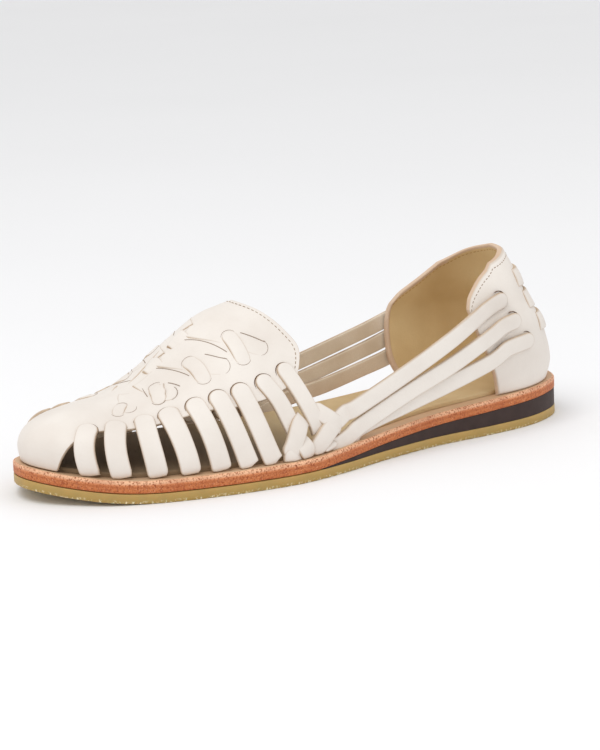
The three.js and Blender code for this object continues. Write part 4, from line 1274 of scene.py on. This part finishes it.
COLLAR_STITCH = 2.4
station_line = smooth_column(PLATE_EDGE, "climb", "station", np.linspace(0.5, 1.0, 60))
climb_line = np.linspace(0.5, 1.0, 60)
lateral_line = near(vamp_side(1), station_line, climb_line, np.full(60, -COLLAR_STITCH), np.zeros(60), WALL)
medial_line = near(vamp_side(-1), station_line, climb_line, np.full(60, -COLLAR_STITCH), np.zeros(60), WALL)
line = np.concatenate([lateral_line, medial_line[::-1][1:]])
outs = np.concatenate([
    near(vamp_side(1), station_line, climb_line, np.full(60, -COLLAR_STITCH), np.zeros(60), WALL + 1),
    near(vamp_side(-1), station_line, climb_line, np.full(60, -COLLAR_STITCH), np.zeros(60), WALL + 1)[::-1][1:]])
add_piece("plate_stitches", stitch_part(line, outs - line, 2.1, 1.6, 0.5), (thread,))

CUP_STITCH_OUT = 2.6
CUP_STITCH_IN = 2.9
around = np.linspace(0.015, 0.985, 300)


def collar_line(inset, proud):
    """A line that keeps its distance below the collar, all round the cup."""
    full = cup_sheet(around, np.ones_like(around), 0.0)
    foot = cup_sheet(around, np.zeros_like(around), 0.0)
    rise = 1 - inset / np.linalg.norm(full - foot, axis=-1)
    line = cup_sheet(around, rise, proud)
    return line, unit(cup_sheet(around, rise, proud + 1.0) - line)


line, outs = collar_line(CUP_STITCH_OUT, 0.0)
add_piece("cup_stitches_outside", stitch_part(line, outs, 1.9, 1.45, 0.45), (thread,))
line, outs = collar_line(CUP_STITCH_IN, -COUNTER_WALL)
add_piece("cup_stitches_inside", stitch_part(line, -outs, 1.9, 1.5, 0.5), (tan_thread,))

# %% [markdown]
# ## Floor, light and camera
# A pale floor, a large soft light above and a fill from the front give the even light of a
# product table. The camera stands about a metre away, a little above the shoe.

# %% Floor
FLOOR_SIZE = 6.0
floor_mesh = bpy.data.meshes.new("floor")
corner = FLOOR_SIZE / 2
floor_mesh.from_pydata([(-corner, -corner, 0), (corner, -corner, 0), (corner, corner, 0), (-corner, corner, 0)],
                       [], [(0, 1, 2, 3)])
floor = bpy.data.objects.new("floor", floor_mesh)
bpy.context.scene.collection.objects.link(floor)
floor_paint, floor_tree, floor_shader = new_finish("pale_floor", 0.75, Specular_IOR_Level=0.15)
floor_tree.links.new(
    blend(floor_tree, noise(floor_tree, 300, 2), colour(246, 246, 247), colour(243, 243, 244)),
    floor_shader.inputs["Base Color"])
floor_mesh.materials.append(floor_paint)

# %% Light
scene = bpy.context.scene
scene.view_settings.view_transform = "Standard"
world = bpy.data.worlds.new("studio")
scene.world = world
world.use_nodes = True
world.node_tree.nodes["Background"].inputs["Color"].default_value = (1, 1, 1, 1)
world.node_tree.nodes["Background"].inputs["Strength"].default_value = 0.85


def soft_light(name, place, aim, size, watts):
    """A square area light that faces a point."""
    data = bpy.data.lights.new(name, "AREA")
    data.size = size
    data.energy = watts
    lamp = bpy.data.objects.new(name, data)
    lamp.location = place
    lamp.rotation_euler = (Vector(aim) - Vector(place)).to_track_quat("-Z", "Y").to_euler()
    scene.collection.objects.link(lamp)
    return lamp


soft_light("key", (0.3, -0.6, 1.3), (0, 0, 0.02), 0.8, 6.5)
soft_light("fill", (1.2, 0.9, 0.8), (0, 0, 0.03), 1.0, 1.5)

# %% Camera
AZIMUTH, ELEVATION, ROLL = 58.3, 12.4, -2.3
DISTANCE = 1.0305
TARGET = Vector((0.0, 0.0, 0.0326))
LENS = 119.0
azimuth, elevation = math.radians(AZIMUTH), math.radians(ELEVATION)
back = Vector((math.sin(azimuth) * math.cos(elevation), -math.cos(azimuth) * math.cos(elevation),
               math.sin(elevation)))
camera_data = bpy.data.cameras.new("camera")
camera_data.lens = LENS
camera = bpy.data.objects.new("camera", camera_data)
turn = (-back).to_track_quat("-Z", "Y").to_matrix().to_4x4()
camera.matrix_world = Matrix.Translation(TARGET + back * DISTANCE) @ turn @ Matrix.Rotation(math.radians(ROLL), 4, "Z")
scene.collection.objects.link(camera)
scene.camera = camera
print("camera at", [round(v, 3) for v in camera.matrix_world.translation])
